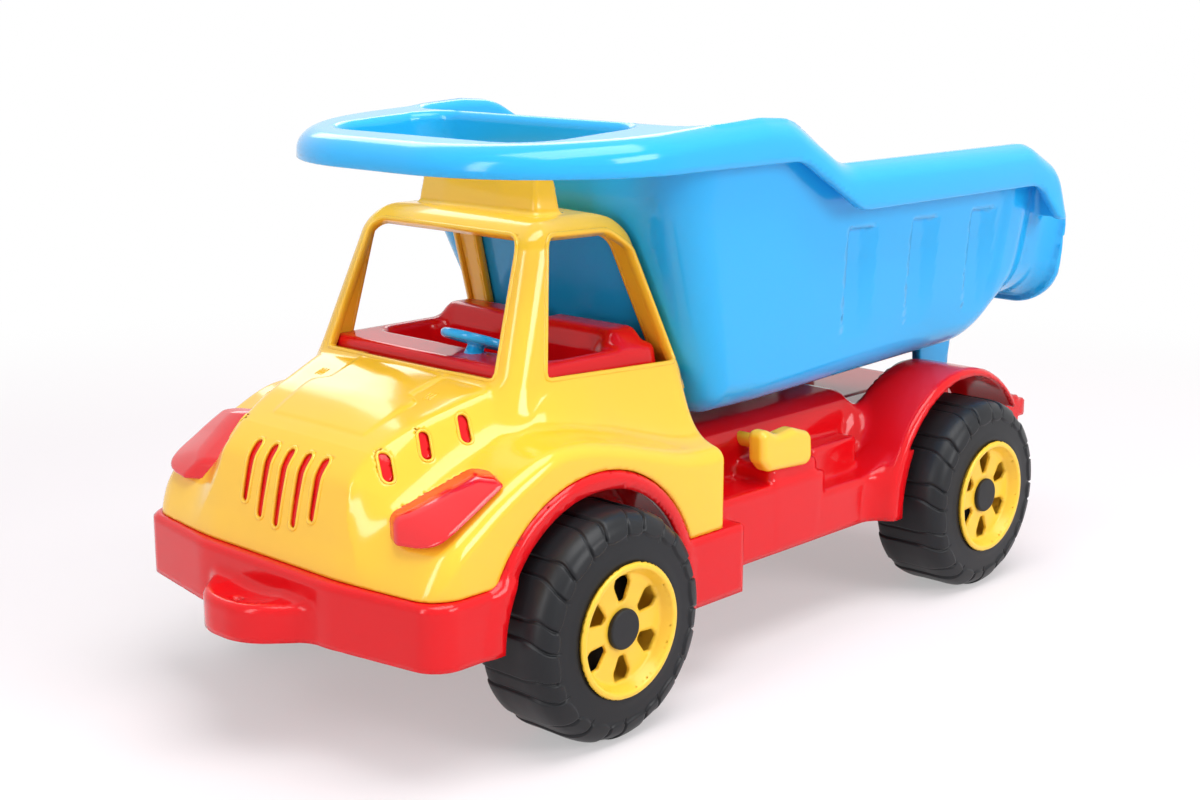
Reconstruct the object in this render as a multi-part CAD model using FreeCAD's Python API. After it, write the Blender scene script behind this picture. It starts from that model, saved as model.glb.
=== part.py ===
import FreeCAD, Part
import math
import os

V = FreeCAD.Vector

# Driving dimensions, in millimetres. X points forward, Y to the left side and Z up from the floor.
# Lengths along X are distances ahead of or behind the front axle, unless they say otherwise.
wheelbase = 321.0
front_overhang = 138.0
rear_overhang = 128.0
overall_length = front_overhang + wheelbase + rear_overhang
front_axle_x = overall_length / 2 - front_overhang
rear_axle_x = front_axle_x - wheelbase
axle_xs = {"front": front_axle_x, "rear": rear_axle_x}
sides = {"left": 1, "right": -1}

# One overrun serves every cut. Pieces that only rest on each other stay the seat gap apart.
overrun = 5.0
seat_gap = 0.3
shaft_clearance = 0.08

# Wheels
tyre_radius = 57.0
tyre_width = 46.0
tyre_outer_y = 131.0
tyre_inner_y = tyre_outer_y - tyre_width
tyre_wall = 3.5
tyre_bead_radius = 31.0
tyre_flange = 12.0
# Outside of the tyre from bead to tread, as shares of its section height inwards of the bead and
# of its width inwards of the outer sidewall.
tyre_section_shares = [(0.0, 0.03), (0.22, 0.0), (0.6, 0.01), (0.85, 0.07), (0.965, 0.15), (1.0, 0.26)]
tyre_back_chamfer = 4.0
groove_count = 12
groove_width = 2.4
groove_depth = 1.3
notch_count = 24
notch_width = 2.6
notch_depth = 1.6
notch_length = 11.0
bead_inset = 1.5
rim_lip_radius = 33.0
rim_lip = 3.0
rim_wall = 2.5
rim_taper = 2.0
rim_depth = 24.0
disc_inset = 6.0
disc_thickness = 3.0
hub_radius = 9.0
hub_inset = 3.0
cap_radius = 10.0
cap_thickness = 2.5
window_count = 6
window_inner_radius = 13.5
window_wide_radius = 22.0
window_outer_radius = 26.0
window_inner_width = 4.0
window_wide_width = 11.5
window_outer_width = 8.0
window_corner = 1.6
axle_radius = 3.0
axle_end_gap = 0.5
wheel_z = tyre_radius
rim_face_y = tyre_outer_y + rim_lip - bead_inset
disc_face_y = rim_face_y - disc_inset

# Chassis shell
chassis_wall = 3.0
chassis_edge = 2.5
bumper_half_width = 113.0
bumper_front = 115.0
bumper_side_front = 104.0
bumper_side_width = 96.0
bumper_corner = 18.0
bumper_bottom = 58.0
bumper_height = 31.0
arch_gap = 7.0
arch_lip = 9.0
arch_skin_inner = arch_gap + 6.0
arch_edge = 3.5
arch_half_width = 112.0
arch_start_angle = 4.0
front_arch_end_angle = 176.0
rear_arch_end_angle = 135.0
skirt_rear = 111.0
skirt_front = 40.0
skirt_bottom = 45.0
skirt_height = 37.0
skirt_corner = 4.0
sill_half_width = 100.0
sill_bottom = 53.0
sill_height = 36.0
sill_lap = 5.0
deck_half_width = 72.0
deck_shoulder = 8.0
deck_top = 121.0
deck_front = 60.0
spine_bottom = 48.0
well_gap = 3.0
front_step_start = 52.0
front_step_length = 42.0
front_step_rise = 12.0
front_step_inset = 2.0
rear_step_ahead = 60.0
rear_step_length = 44.0
rear_step_rise = 20.0
rear_step_outer_y = 86.0
tail_length = 119.0
tail_top = 92.0
tail_bottom = 62.0
tail_half_width = 80.0
nub_length = 6.0
nub_width = 14.0
nub_height = 12.0
nub_corner = 3.0
lip_half_width = 38.0
lip_bottom = 58.0
lip_thickness = 15.0
lip_corner = 16.0
tow_hole_radius = 3.0
tow_hole_inset = 9.0
bearer_half_width = 9.0
bearer_inset = 10.0
bearer_drop = 9.0

# Cab shell. Its heights stack up from the skirt, and the canopy's from the roof.
cab_wall = 2.5
cab_inset = 2.0
cab_rear = 98.0
cab_foot = skirt_bottom + skirt_height + seat_gap
door_height = 85.0
belt_z = skirt_bottom + skirt_height + door_height
belt_half_width = 76.0
window_height = 77.0
roof_z = belt_z + window_height
roof_half_width = 64.0
roof_front_back = 6.0
roof_rear_ahead = 29.0
cowl_ahead = 21.0
cowl_rise = 4.0
pillar_corner = 12.0
roof_rear_back = cab_rear - roof_rear_ahead
cowl_z = belt_z + cowl_rise
# Sections across the hood and fenders, from the nose to the back of the cab. Each has its distance
# as a share of the front overhang, the fender's height as a share of the belt's, the fender's
# inner edge and the hood's edge, each as shares of the fender's half width and the belt's height,
# and the height in the middle as a share of the belt's.
cab_section_shares = [
    (0.826, 0.623, (0.764, 0.647), (0.400, 0.772), 0.784),
    (0.688, 0.683, (0.764, 0.713), (0.427, 0.832), 0.850),
    (0.522, 0.766, (0.782, 0.784), (0.500, 0.889), 0.910),
    (0.362, 0.832, (0.800, 0.838), (0.564, 0.940), 0.964),
    (0.181, 0.868, (0.800, 0.862), (0.636, 0.988), 1.009),
    (0.058, 0.862, (0.800, 0.856), (0.682, 1.006), 1.024),
    (-0.130, 0.826, (0.800, 0.832), (0.700, 1.000), 1.006),
    (-0.326, 0.778, (0.800, 0.790), (0.700, 0.997), 1.003),
    (-0.543, 0.737, (0.800, 0.754), (0.700, 0.994), 1.000),
    (-0.725, 0.731, (0.800, 0.743), (0.700, 0.988), 0.994),
]
fender_corner = 6.0
hood_corner = 5.0
nose_top_back = 25.0
nose_top_z = 146.0
nose_break_back = 19.0
nose_break_z = 138.0
nose_low_back = 7.0
nose_low_z = 104.0
hood_line_ahead = 60.0
roof_box_front_back = 24.0
roof_box_bow = 9.0
roof_box_rear_back = 62.0
roof_box_half_width = 49.0
roof_box_rear_half_width = 22.0
roof_box_height = 19.0
roof_box_draft = 4.0
side_window_front_back = 5.0
side_window_pillar = 5.0
side_window_top_front_back = 13.0
side_window_top_rear_back = 57.0
side_window_shoulder_back = 70.0
side_window_shoulder_drop = 19.0
window_top_drop = 9.0
window_top_corner = 7.0
window_low_corner = 1.5
windshield_half_width = 59.0
windshield_top_half_width = 51.0
rear_window_half_width = 60.0
rear_window_top_half_width = 50.0
rear_window_sill = 2.0
rear_window_top_drop = 12.0

# Lamps, grille and louvres. The lamp's outline lies on the upright plane through its two ends.
lamp_proud = 3.0
lamp_gap = 0.2
lamp_depth = 34.0
lamp_start = (94.7, 71.3)
lamp_finish = (49.4, 96.0)
lamp_low_z = 108.0
lamp_length = 52.0
lamp_height = 32.0
# Points of the outline as shares of the lamp's length and height, and of its height as a radius.
lamp_outline_shares = [
    (0.0, 0.0, 0.0),
    (0.0, 0.375, 0.09),
    (0.69, 1.0, 0.12),
    (0.9, 0.906, 0.09),
    (1.0, 0.766, 0.03),
    (0.35, 0.016, 0.19),
]
slot_count = 5
slot_pitch = 12.9
slot_width = 5.0
slot_end = 2.2
slot_top = 143.0
slot_bottoms = (103.7, 105.8, 111.3)
slot_back = 78.0
louvre_distances = (81.0, 63.0, 46.0)
louvre_half_widths = (52.0, 58.0, 65.0)
louvre_tops = (151.0, 156.0, 161.0)
louvre_width = 6.0
louvre_end = 2.4
louvre_height = 17.0
louvre_reach = 20.0
louvre_turn = 62.0
backing_thickness = 2.0
backing_rear = 30.0
backing_bottom = 96.0
backing_half_width = 74.0

# Interior
tub_wall = 2.5
interior_gap = 1.0
interior_corner = 9.0
interior_rear_gap = 3.0
interior_front = 14.0
interior_drop = 1.0
dash_back = 18.0
bench_rise = 27.0
bench_front = 50.0
back_length = 14.0
back_rear_gap = 13.0
back_rise = 19.0
back_inner_y = 7.0
back_outer_y = 66.0
back_corner = 5.0
steering_y = 22.0
steering_x = -6.0
steering_rise = 14.0
steering_radius = 17.0
steering_rim = 2.0
steering_hub = 4.5
steering_spoke = 1.6
steering_spokes = 3
steering_tilt = 20.0
column_radius = 3.0
column_length = 22.0

# Tipping lever on the left side
lever_behind_cab = 35.0
lever_length = 50.0
lever_gap = 12.0
lever_width = 20.0
lever_bottom_gap = 1.5
lever_height = 27.0
lever_dip = 2.5
lever_dip_share = 0.4
lever_corner = 4.0
lever_shaft = 4.0

# Bed. Distances along it are taken from the back of the cab or from the rear axle.
bed_wall = 3.0
bed_half_width = 118.0
bed_front = 43.0
bed_front_corner = 94.0
rim_round = 8.0
canopy_gap = 4.0
canopy_depth = 23.0
canopy_front_drop = 9.0
rim_drop = 28.0
rim_band = 25.0
hump_start_behind_cab = 20.0
hump_end_behind_cab = 44.0
hump_end_drop = 1.0
dip_behind_cab = 90.0
canopy_end_behind_cab = 48.0
dip_low_behind_cab = 102.0
rim_end_behind_axle = 57.0
tail_bend_behind_axle = 91.0
tail_bend_drop = 44.0
rim_tip_behind_axle = 105.0
rim_tip_drop = 76.0
rim_tip_length = 18.0
rim_low_end_behind_axle = 67.0
hump_curve = 24.0
rim_curve = 20.0
tub_front_gap = 2.0
tub_front_slope = 0.39
tub_top_half_width = 110.0
tub_bottom_half_width = 84.0
tub_floor_gap = 10.0
tub_floor_rise = 9.0
tub_front_corner = 22.0
tub_edge = 14.0
stern_behind_axle = 85.0
stern_curve = 58.0
stern_corner = 9.0
chute_start_behind_axle = 70.0
chute_waist_behind_axle = 112.0
chute_end_behind_axle = 128.0
chute_low_rise = 31.0
chute_drop = 4.0
chute_half_width = 87.0
chute_top_half_width = 95.0
chute_flare = 6.0
chute_corner = 22.0
chute_lean = 19.0
chute_top_drop = 14.0
panel_count = 3
panel_pitch = 62.5
panel_start_ahead_of_axle = 108.0
panel_width = 28.0
panel_top_drop = 66.0
panel_height = 62.0
panel_depth = 1.4
panel_corner = 5.0
handle_front_gap = 31.0
handle_length = 81.0
handle_half_width = 78.0
handle_corner = 26.0
handle_round = 4.0
hinge_behind_axle = 50.0
hinge_z = 106.0
hinge_ear_y = 50.0
hinge_ear_thickness = 6.0
hinge_ear_radius = 9.0
hinge_ear_half_length = 19.0
hinge_ear_lap = 9.0
hinge_pin_radius = 3.0
hinge_post_thickness = 5.0
hinge_side_gap = 0.8


def place(axis, u, v, w):
    """Point of an outline drawn across an axis: X has (y, z), Y has (x, z) and Z has (x, y)."""
    if axis == "X":
        return V(w, u, v)
    if axis == "Y":
        return V(u, w, v)
    return V(u, v, w)


def outline_wire(points, axis, level):
    """Closed wire through (u, v) or (u, v, corner radius) points."""
    count = len(points)
    corners = [place(axis, p[0], p[1], level) for p in points]
    starts = []
    ends = []
    middles = []
    for i in range(count):
        corner = corners[i]
        radius = points[i][2] if len(points[i]) > 2 else 0
        if radius == 0:
            starts.append(corner)
            ends.append(corner)
            middles.append(None)
            continue
        back = (corners[i - 1] - corner).normalize()
        onward = (corners[(i + 1) % count] - corner).normalize()
        half = back.getAngle(onward) / 2
        run = radius / math.tan(half)
        starts.append(corner + back * run)
        ends.append(corner + onward * run)
        bisector = (back + onward).normalize()
        middles.append(corner + bisector * (radius / math.sin(half) - radius))
    edges = []
    for i in range(count):
        if middles[i] is not None:
            edges.append(Part.Arc(starts[i], middles[i], ends[i]).toShape())
        following = (i + 1) % count
        if (starts[following] - ends[i]).Length > Part.Precision.confusion():
            edges.append(Part.makeLine(ends[i], starts[following]))
    return Part.Wire(edges)


def prism(points, axis, low, high):
    """Outline extruded along an axis from low to high."""
    face = Part.Face(outline_wire(points, axis, low))
    return face.extrude(place(axis, 0, 0, high - low))


def block(x_low, x_high, y_low, y_high, z_low, z_high):
    return Part.makeBox(x_high - x_low, y_high - y_low, z_high - z_low, V(x_low, y_low, z_low))


def soft_block(x_low, x_high, y_low, y_high, z_low, z_high, edge_radius):
    """Block with every edge rounded but those of its foot."""
    shape = block(x_low, x_high, y_low, y_high, z_low, z_high)
    return shape.makeFillet(edge_radius, [edge for edge in shape.Edges if edge.BoundBox.ZMax > z_low + seat_gap])


def rod(radius, x, z, y_low, y_high):
    return Part.makeCylinder(radius, y_high - y_low, V(x, y_low, z), V(0, 1, 0))


def revolved(points, x, z):
    """Outline of (radius, y) points turned about the line along Y through x and z."""
    face = Part.Face(outline_wire([(p[1], p[0]) + tuple(p[2:]) for p in points], "X", 0))
    face.translate(V(x, 0, z))
    return face.revolve(V(x, 0, z), V(0, 1, 0), 360)


def fused(shapes):
    return shapes[0].multiFuse(shapes[1:]).removeSplitter()


def mirrored(shape):
    return shape.mirror(V(0, 0, 0), V(0, 1, 0))


def both_sides(shape):
    return [shape, mirrored(shape)]


def midpoint(edge):
    return edge.valueAt((edge.FirstParameter + edge.LastParameter) / 2)


def rounded(shape, radius, wanted):
    """Shape with a fillet on each edge that the wanted function picks."""
    return shape.makeFillet(radius, [edge for edge in shape.Edges if wanted(edge)])


def near(a, b):
    return abs(a - b) < seat_gap


def ahead(distance):
    """X of a place ahead of the front axle. A place behind it has a negative distance."""
    return front_axle_x + distance


def behind_cab(distance):
    return ahead(-cab_rear - distance)


def behind_axle(distance):
    return rear_axle_x - distance


nodes = {}


# Wheels: a hollow soft tyre, a dished rim with windows and a snap-on hub cap.
def tyre_outline():
    section = tyre_radius - tyre_bead_radius
    outside = [(tyre_bead_radius + section * up, tyre_outer_y - tyre_width * inwards)
               for up, inwards in tyre_section_shares]
    hollow = tyre_radius - tyre_wall
    mouth = tyre_radius - tyre_flange
    inner = tyre_inner_y + tyre_wall
    wall_y = tyre_outer_y - tyre_wall
    return outside + [
        (tyre_radius, tyre_inner_y + tyre_back_chamfer),
        (tyre_radius - tyre_back_chamfer, tyre_inner_y),
        (mouth, tyre_inner_y),
        (mouth, inner),
        (hollow - tyre_back_chamfer, inner),
        (hollow, inner + tyre_back_chamfer),
        (hollow, wall_y - tyre_width * tyre_section_shares[-1][1]),
        (hollow - tyre_wall, wall_y - tyre_wall),
        (tyre_bead_radius, wall_y - bead_inset),
    ]


def tread_cuts(x, z):
    """Grooves across the tread and notches round the outer shoulder."""
    cuts = []
    groove = block(-groove_width / 2, groove_width / 2, tyre_inner_y - overrun, tyre_outer_y + overrun,
                   tyre_radius - groove_depth, tyre_radius + overrun)
    notch = block(-notch_width / 2, notch_width / 2, tyre_outer_y - notch_depth, tyre_outer_y + overrun,
                  tyre_radius - notch_length, tyre_radius + overrun)
    for cut, count, shift in ((groove, groove_count, 0), (notch, notch_count, 1 / 4)):
        for i in range(count):
            copy = cut.copy()
            copy.translate(V(x, 0, z))
            copy.rotate(V(x, 0, z), V(0, 1, 0), 360 / count * (i + shift))
            cuts.append(copy)
    return cuts


def rim_outline():
    barrel_outer = tyre_bead_radius - shaft_clearance
    lip_back = tyre_outer_y
    back = rim_face_y - rim_depth
    disc_back = disc_face_y - disc_thickness
    hub_back = tyre_inner_y + hub_inset
    bore = axle_radius + shaft_clearance
    barrel_inner = barrel_outer - rim_wall
    return [
        (rim_lip_radius, rim_face_y),
        (rim_lip_radius, lip_back),
        (barrel_outer, lip_back - bead_inset),
        (barrel_outer - rim_taper, back),
        (barrel_inner - rim_taper, back),
        (barrel_inner - rim_taper / 2, disc_back),
        (hub_radius, disc_back),
        (hub_radius, hub_back),
        (bore, hub_back),
        (bore, disc_face_y),
        (barrel_inner - rim_taper / 2, disc_face_y),
        (barrel_inner, rim_face_y),
    ]


def rim_windows(x, z):
    half = [
        (window_inner_width / 2, window_inner_radius, window_corner),
        (window_wide_width / 2, window_wide_radius, window_corner * 2),
        (window_outer_width / 2, window_outer_radius, window_corner),
    ]
    cuts = []
    for i in range(window_count):
        points = [(x + p[0], z + p[1], p[2]) for p in half]
        points += [(x - p[0], z + p[1], p[2]) for p in reversed(half)]
        cut = prism(points, "Y", disc_face_y - disc_thickness - overrun, disc_face_y + overrun)
        cut.rotate(V(x, 0, z), V(0, 1, 0), 360 / window_count * (i + 1 / 2))
        cuts.append(cut)
    return cuts


for end, axle_x in axle_xs.items():
    tyre = revolved(tyre_outline(), axle_x, wheel_z).cut(tread_cuts(axle_x, wheel_z))
    rim = revolved(rim_outline(), axle_x, wheel_z).cut(rim_windows(axle_x, wheel_z))
    cap = rod(cap_radius, axle_x, wheel_z, disc_face_y, disc_face_y + cap_thickness)
    cap = rounded(cap, cap_thickness / 2, lambda edge: near(edge.BoundBox.YMin, disc_face_y + cap_thickness))
    for side in sides:
        for piece, shape in (("tyre", tyre), ("rim", rim), ("hub_cap", cap)):
            nodes["%s_%s_%s" % (piece, end, side)] = shape if side == "left" else mirrored(shape)
    axle_end = disc_face_y - axle_end_gap
    nodes["axle_" + end] = rod(axle_radius, axle_x, wheel_z, -axle_end, axle_end)


# Chassis: one thin red moulding, open below.
arch_inner = tyre_radius + arch_gap
arch_outer = arch_inner + arch_lip
arch_skin = tyre_radius + arch_skin_inner
sill_rear = wheelbase - arch_inner + sill_lap
sill_top = sill_bottom + sill_height
skirt_top = skirt_bottom + skirt_height
bumper_top = bumper_bottom + bumper_height
well_inner_y = tyre_inner_y - well_gap


def bumper_plan(inset):
    """Outline of the bumper seen from above."""
    front = ahead(bumper_front - inset)
    shoulder = ahead(bumper_side_front - inset)
    half = [
        (front, bumper_side_width / 2 - inset),
        (shoulder, bumper_half_width - inset, bumper_corner - inset),
        (ahead(0), bumper_half_width - inset),
    ]
    return half + [(p[0], -p[1]) + tuple(p[2:]) for p in reversed(half)]


def chassis_outer(inset):
    """Outside of the chassis for no inset, its hollow for an inset of one wall."""
    low = inset * overrun
    shoulder = deck_half_width - deck_shoulder
    deck = prism([
        (inset - deck_half_width, spine_bottom - low),
        (inset - deck_half_width, deck_top - deck_shoulder - inset),
        (inset - shoulder, deck_top - inset),
        (shoulder - inset, deck_top - inset),
        (deck_half_width - inset, deck_top - deck_shoulder - inset),
        (deck_half_width - inset, spine_bottom - low),
    ], "X", ahead(inset - sill_rear - overrun), ahead(deck_front - inset))
    bumper = prism(bumper_plan(inset), "Z", bumper_bottom - low, bumper_top - inset)
    bumper = rounded(bumper, chassis_edge, lambda edge: near(edge.BoundBox.ZMin, bumper_top - inset))
    sill = soft_block(ahead(inset - sill_rear), ahead(-skirt_front), inset - sill_half_width,
                      sill_half_width - inset, sill_bottom - low, sill_top - inset, chassis_edge)
    corner = max(skirt_corner - inset, seat_gap)
    skirt_side = arch_half_width - inset
    skirt = prism([
        (ahead(inset - skirt_rear), -skirt_side, corner),
        (ahead(inset - skirt_rear), skirt_side, corner),
        (ahead(-skirt_front), skirt_side),
        (ahead(-skirt_front), -skirt_side),
    ], "Z", skirt_bottom - low, skirt_top - inset)
    skirt = rounded(skirt, chassis_edge, lambda edge: near(edge.BoundBox.ZMin, skirt_top - inset))
    tail = soft_block(behind_axle(tail_length - inset), ahead(-sill_rear + overrun * 2 - inset),
                      inset - tail_half_width, tail_half_width - inset, tail_bottom - low, tail_top - inset, chassis_edge)
    step_outer = sill_half_width - front_step_inset
    front_step = soft_block(behind_cab(front_step_start + front_step_length - inset),
                            behind_cab(front_step_start + inset), inset - step_outer, step_outer - inset,
                            sill_bottom - low, sill_top + front_step_rise - inset, chassis_edge)
    rear_step_x = ahead(-sill_rear) + rear_step_ahead
    rear_step = soft_block(rear_step_x - rear_step_length + inset, rear_step_x - inset, inset - rear_step_outer_y,
                           rear_step_outer_y - inset, sill_bottom - low, sill_top + rear_step_rise - inset,
                           chassis_edge)
    return fused([deck, bumper, sill, front_step, rear_step, skirt, tail])


def arch_ring(axle_x, section, start_angle, end_angle):
    """Outline of (radius, y) points turned about an axle, with angles counted upwards from ahead."""
    centre = V(axle_x, 0, wheel_z)
    upwards = V(0, -1, 0)
    face = Part.Face(outline_wire([(axle_x + p[0],) + tuple(p[1:]) for p in section], "Z", wheel_z))
    face.rotate(centre, upwards, start_angle)
    return face.revolve(centre, upwards, end_angle - start_angle)


def tow_lip(inset):
    tip = ahead(front_overhang - inset)
    points = [
        (ahead(0), lip_half_width - inset),
        (ahead(bumper_side_front), lip_half_width - inset),
        (tip, lip_half_width / 2, lip_corner - inset),
        (tip, -lip_half_width / 2, lip_corner - inset),
        (ahead(bumper_side_front), inset - lip_half_width),
        (ahead(0), inset - lip_half_width),
    ]
    return prism(points, "Z", lip_bottom - inset * overrun, lip_bottom + lip_thickness - inset)


outer = fused([chassis_outer(0), tow_lip(0)])
hollow = fused([chassis_outer(chassis_wall), tow_lip(chassis_wall)])
chassis = outer.cut(hollow)
arch_section = [
    (arch_inner, arch_half_width - chassis_wall),
    (arch_inner, arch_half_width),
    (arch_outer, arch_half_width, arch_edge),
    (arch_outer, deck_half_width - chassis_wall),
    (arch_skin, deck_half_width - chassis_wall),
    (arch_skin, arch_half_width - chassis_wall),
]
liners = []
for end, axle_x in axle_xs.items():
    last = front_arch_end_angle if end == "front" else rear_arch_end_angle
    liners += both_sides(arch_ring(axle_x, arch_section, arch_start_angle, last))
chassis = chassis.fuse(liners)
wells = []
for axle_x in axle_xs.values():
    wells += both_sides(rod(arch_skin, axle_x, wheel_z, well_inner_y, arch_half_width - chassis_wall))
    wells += both_sides(rod(arch_inner, axle_x, wheel_z, well_inner_y, arch_half_width + overrun))
chassis = chassis.cut(wells)
bearers = []
for end, axle_x in axle_xs.items():
    top = deck_top - chassis_wall if end == "front" else tail_top - chassis_wall / 2
    bearers += both_sides(block(axle_x - bearer_half_width, axle_x + bearer_half_width,
                                deck_half_width - bearer_inset, well_inner_y - chassis_wall,
                                wheel_z - bearer_drop, top))
posts = []
hinge_x = behind_axle(hinge_behind_axle)
post_y = hinge_ear_y + hinge_ear_thickness + hinge_side_gap
for y_low in (post_y, hinge_ear_y - hinge_side_gap - hinge_post_thickness):
    post = fused([
        rod(hinge_ear_radius, hinge_x, hinge_z, y_low, y_low + hinge_post_thickness),
        block(hinge_x - hinge_ear_radius, hinge_x + hinge_ear_radius, y_low, y_low + hinge_post_thickness,
              tail_top - chassis_wall, hinge_z),
    ])
    posts += both_sides(post)
nub_z = (tail_top + tail_bottom) / 2
nub = block(behind_axle(tail_length + nub_length), behind_axle(tail_length - chassis_wall),
            tail_half_width - nub_width, tail_half_width, nub_z, nub_z + nub_height)
nub = rounded(nub, nub_corner, lambda edge: near(edge.BoundBox.XMax, behind_axle(tail_length + nub_length)))
chassis = chassis.fuse(bearers + posts + both_sides(nub))
axle_holes = [rod(axle_radius + shaft_clearance, x, wheel_z, -bumper_half_width, bumper_half_width)
              for x in axle_xs.values()]
pin_hole = rod(hinge_pin_radius, hinge_x, hinge_z, -bumper_half_width, bumper_half_width)
tow_x = ahead(front_overhang - tow_hole_inset)
tow_hole = Part.makeCylinder(tow_hole_radius, lip_thickness + overrun * 2, V(tow_x, 0, lip_bottom - overrun),
                             V(0, 0, 1))
lever_low = sill_top + front_step_rise + lever_bottom_gap
lever_front_x = behind_cab(lever_behind_cab)
lever_x = lever_front_x - lever_length / 2
lever_z = lever_low + lever_height / 3
lever_inner = deck_half_width + lever_gap
shaft_end = deck_half_width - chassis_wall - seat_gap
lever_hole = rod(lever_shaft + shaft_clearance, lever_x, lever_z, 0, deck_half_width + overrun)
chassis = chassis.cut(axle_holes + [pin_hole, tow_hole, lever_hole])
nodes["chassis"] = chassis.removeSplitter()

# Tipping lever on the left side: a yellow saddle-topped knob on a short shaft.
lever_top = lever_low + lever_height
lever_back_x = lever_front_x - lever_length
lever = prism([
    (lever_back_x, lever_low, lever_corner),
    (lever_back_x, lever_top, lever_corner),
    (lever_back_x + lever_length * lever_dip_share, lever_top - lever_dip, lever_corner * 2),
    (lever_front_x, lever_top, lever_corner),
    (lever_front_x, lever_low, lever_corner),
], "Y", lever_inner, lever_inner + lever_width)
lever = rounded(lever, lever_corner / 2, lambda edge: near(edge.BoundBox.YMin, lever_inner + lever_width))
nodes["tip_lever"] = lever.fuse(rod(lever_shaft, lever_x, lever_z, shaft_end, lever_inner + lever_corner))


# Cab shell: one thin yellow moulding with the hood, fenders, pillars and roof.
nose_front = bumper_front - cab_inset
fender_half_width = arch_half_width - cab_inset


def cab_body(inset):
    foot = cab_foot - inset * overrun
    side = fender_half_width - inset
    wires = []
    for distance, fender_z, fender_in, hood, middle_z in cab_section_shares:
        half = [
            (side, foot),
            (side, belt_z * fender_z - inset, fender_corner),
            (fender_half_width * fender_in[0] - inset, belt_z * fender_in[1] - inset, fender_corner),
            (fender_half_width * hood[0] - inset, belt_z * hood[1] - inset, hood_corner),
        ]
        points = half + [(0, belt_z * middle_z - inset)]
        points += [(-p[0],) + tuple(p[1:]) for p in reversed(half)]
        wires.append(outline_wire(points, "X", ahead(front_overhang * distance)))
    body = Part.makeLoft(wires, True, False)
    profile = prism([
        (ahead(inset - cab_rear), foot - overrun),
        (ahead(inset - cab_rear), roof_z),
        (ahead(hood_line_ahead), roof_z),
        (ahead(hood_line_ahead), belt_z),
        (ahead(nose_front - nose_top_back - inset), nose_top_z - inset),
        (ahead(nose_front - nose_break_back - inset), nose_break_z - inset),
        (ahead(nose_front - nose_low_back - inset), nose_low_z),
        (ahead(nose_front - inset), bumper_top),
        (ahead(nose_front - inset), foot - overrun),
    ], "Y", -bumper_half_width, bumper_half_width)
    front = ahead(nose_front - inset)
    shoulder = ahead(bumper_side_front - cab_inset - inset)
    back = ahead(-cab_rear - overrun)
    plan = prism([
        (front, bumper_side_width / 2),
        (shoulder, side, bumper_corner - inset),
        (back, side),
        (back, -side),
        (shoulder, -side, bumper_corner - inset),
        (front, -bumper_side_width / 2),
    ], "Z", foot - overrun, roof_z)
    return body.common(profile).common(plan)


def cab_house(inset):
    """Tapered block of the windows and roof, with round front corners and roof edges."""
    low = belt_z - overrun - inset
    high = roof_z - inset
    fall = (roof_z - low) / (roof_z - belt_z)
    side_profile = prism([
        (ahead(inset - cab_rear), low),
        (ahead(inset - cab_rear), belt_z),
        (ahead(inset - roof_rear_back), high),
        (ahead(-roof_front_back - inset), high),
        (ahead(-roof_front_back - inset + (cowl_ahead + roof_front_back) * fall), low),
    ], "Y", -bumper_half_width, bumper_half_width)
    low_side = roof_half_width + (belt_half_width - roof_half_width) * fall
    front_profile = prism([
        (inset - low_side, low),
        (inset - roof_half_width, high),
        (roof_half_width - inset, high),
        (low_side - inset, low),
    ], "X", ahead(-cab_rear - overrun), ahead(cowl_ahead * fall + overrun))
    house = side_profile.common(front_profile)
    return rounded(house, pillar_corner - inset, lambda edge: near(edge.BoundBox.ZMax, high))


def roof_box(inset):
    """Transverse block on the roof, with a shallow bow to its front face."""
    wires = []
    for level, shrink in ((roof_z - overrun, 0), (roof_z + roof_box_height - inset, roof_box_draft)):
        cut = shrink + inset
        front = ahead(-roof_box_front_back - cut)
        rear = ahead(cut - roof_box_rear_back)
        side = roof_box_half_width - cut
        wires.append(outline_wire([
            (front, 0),
            (front - roof_box_bow, side),
            (rear, roof_box_rear_half_width - cut),
            (rear, cut - roof_box_rear_half_width),
            (front - roof_box_bow, -side),
        ], "Z", level))
    return Part.makeLoft(wires, True, True)


interior_half_width = belt_half_width - cab_wall - interior_gap
interior_rear = cab_rear - interior_rear_gap
interior_top = belt_z - interior_drop


def interior_room(grow):
    """Space of the red tub in the cab, with its rear corners rounded to follow the pillars."""
    side = interior_half_width + grow
    return prism([
        (ahead(interior_front + grow), -side),
        (ahead(interior_front + grow), side),
        (ahead(-interior_rear - grow), side, interior_corner),
        (ahead(-interior_rear - grow), -side, interior_corner),
    ], "Z", deck_top, interior_top + grow)


body_hollow = cab_body(cab_wall)
cab = fused([cab_body(0), cab_house(0)])
cab = cab.cut(fused([body_hollow, cab_house(cab_wall), interior_room(interior_gap)]))
cab = cab.fuse(roof_box(0)).cut(roof_box(cab_wall))
window_top = roof_z - window_top_drop
side_window = prism([
    (ahead(-side_window_front_back), cowl_z, window_low_corner),
    (ahead(side_window_pillar - cab_rear), belt_z, window_low_corner),
    (ahead(-side_window_shoulder_back), roof_z - side_window_shoulder_drop, window_top_corner),
    (ahead(-side_window_top_rear_back), window_top, window_top_corner),
    (ahead(-side_window_top_front_back), window_top, window_top_corner / 2),
], "Y", -bumper_half_width, bumper_half_width)
windshield = prism([
    (-windshield_half_width, cowl_z, window_low_corner),
    (windshield_half_width, cowl_z, window_low_corner),
    (windshield_top_half_width, window_top, window_top_corner),
    (-windshield_top_half_width, window_top, window_top_corner),
], "X", ahead(-roof_front_back - pillar_corner), ahead(cowl_ahead + overrun))
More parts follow.
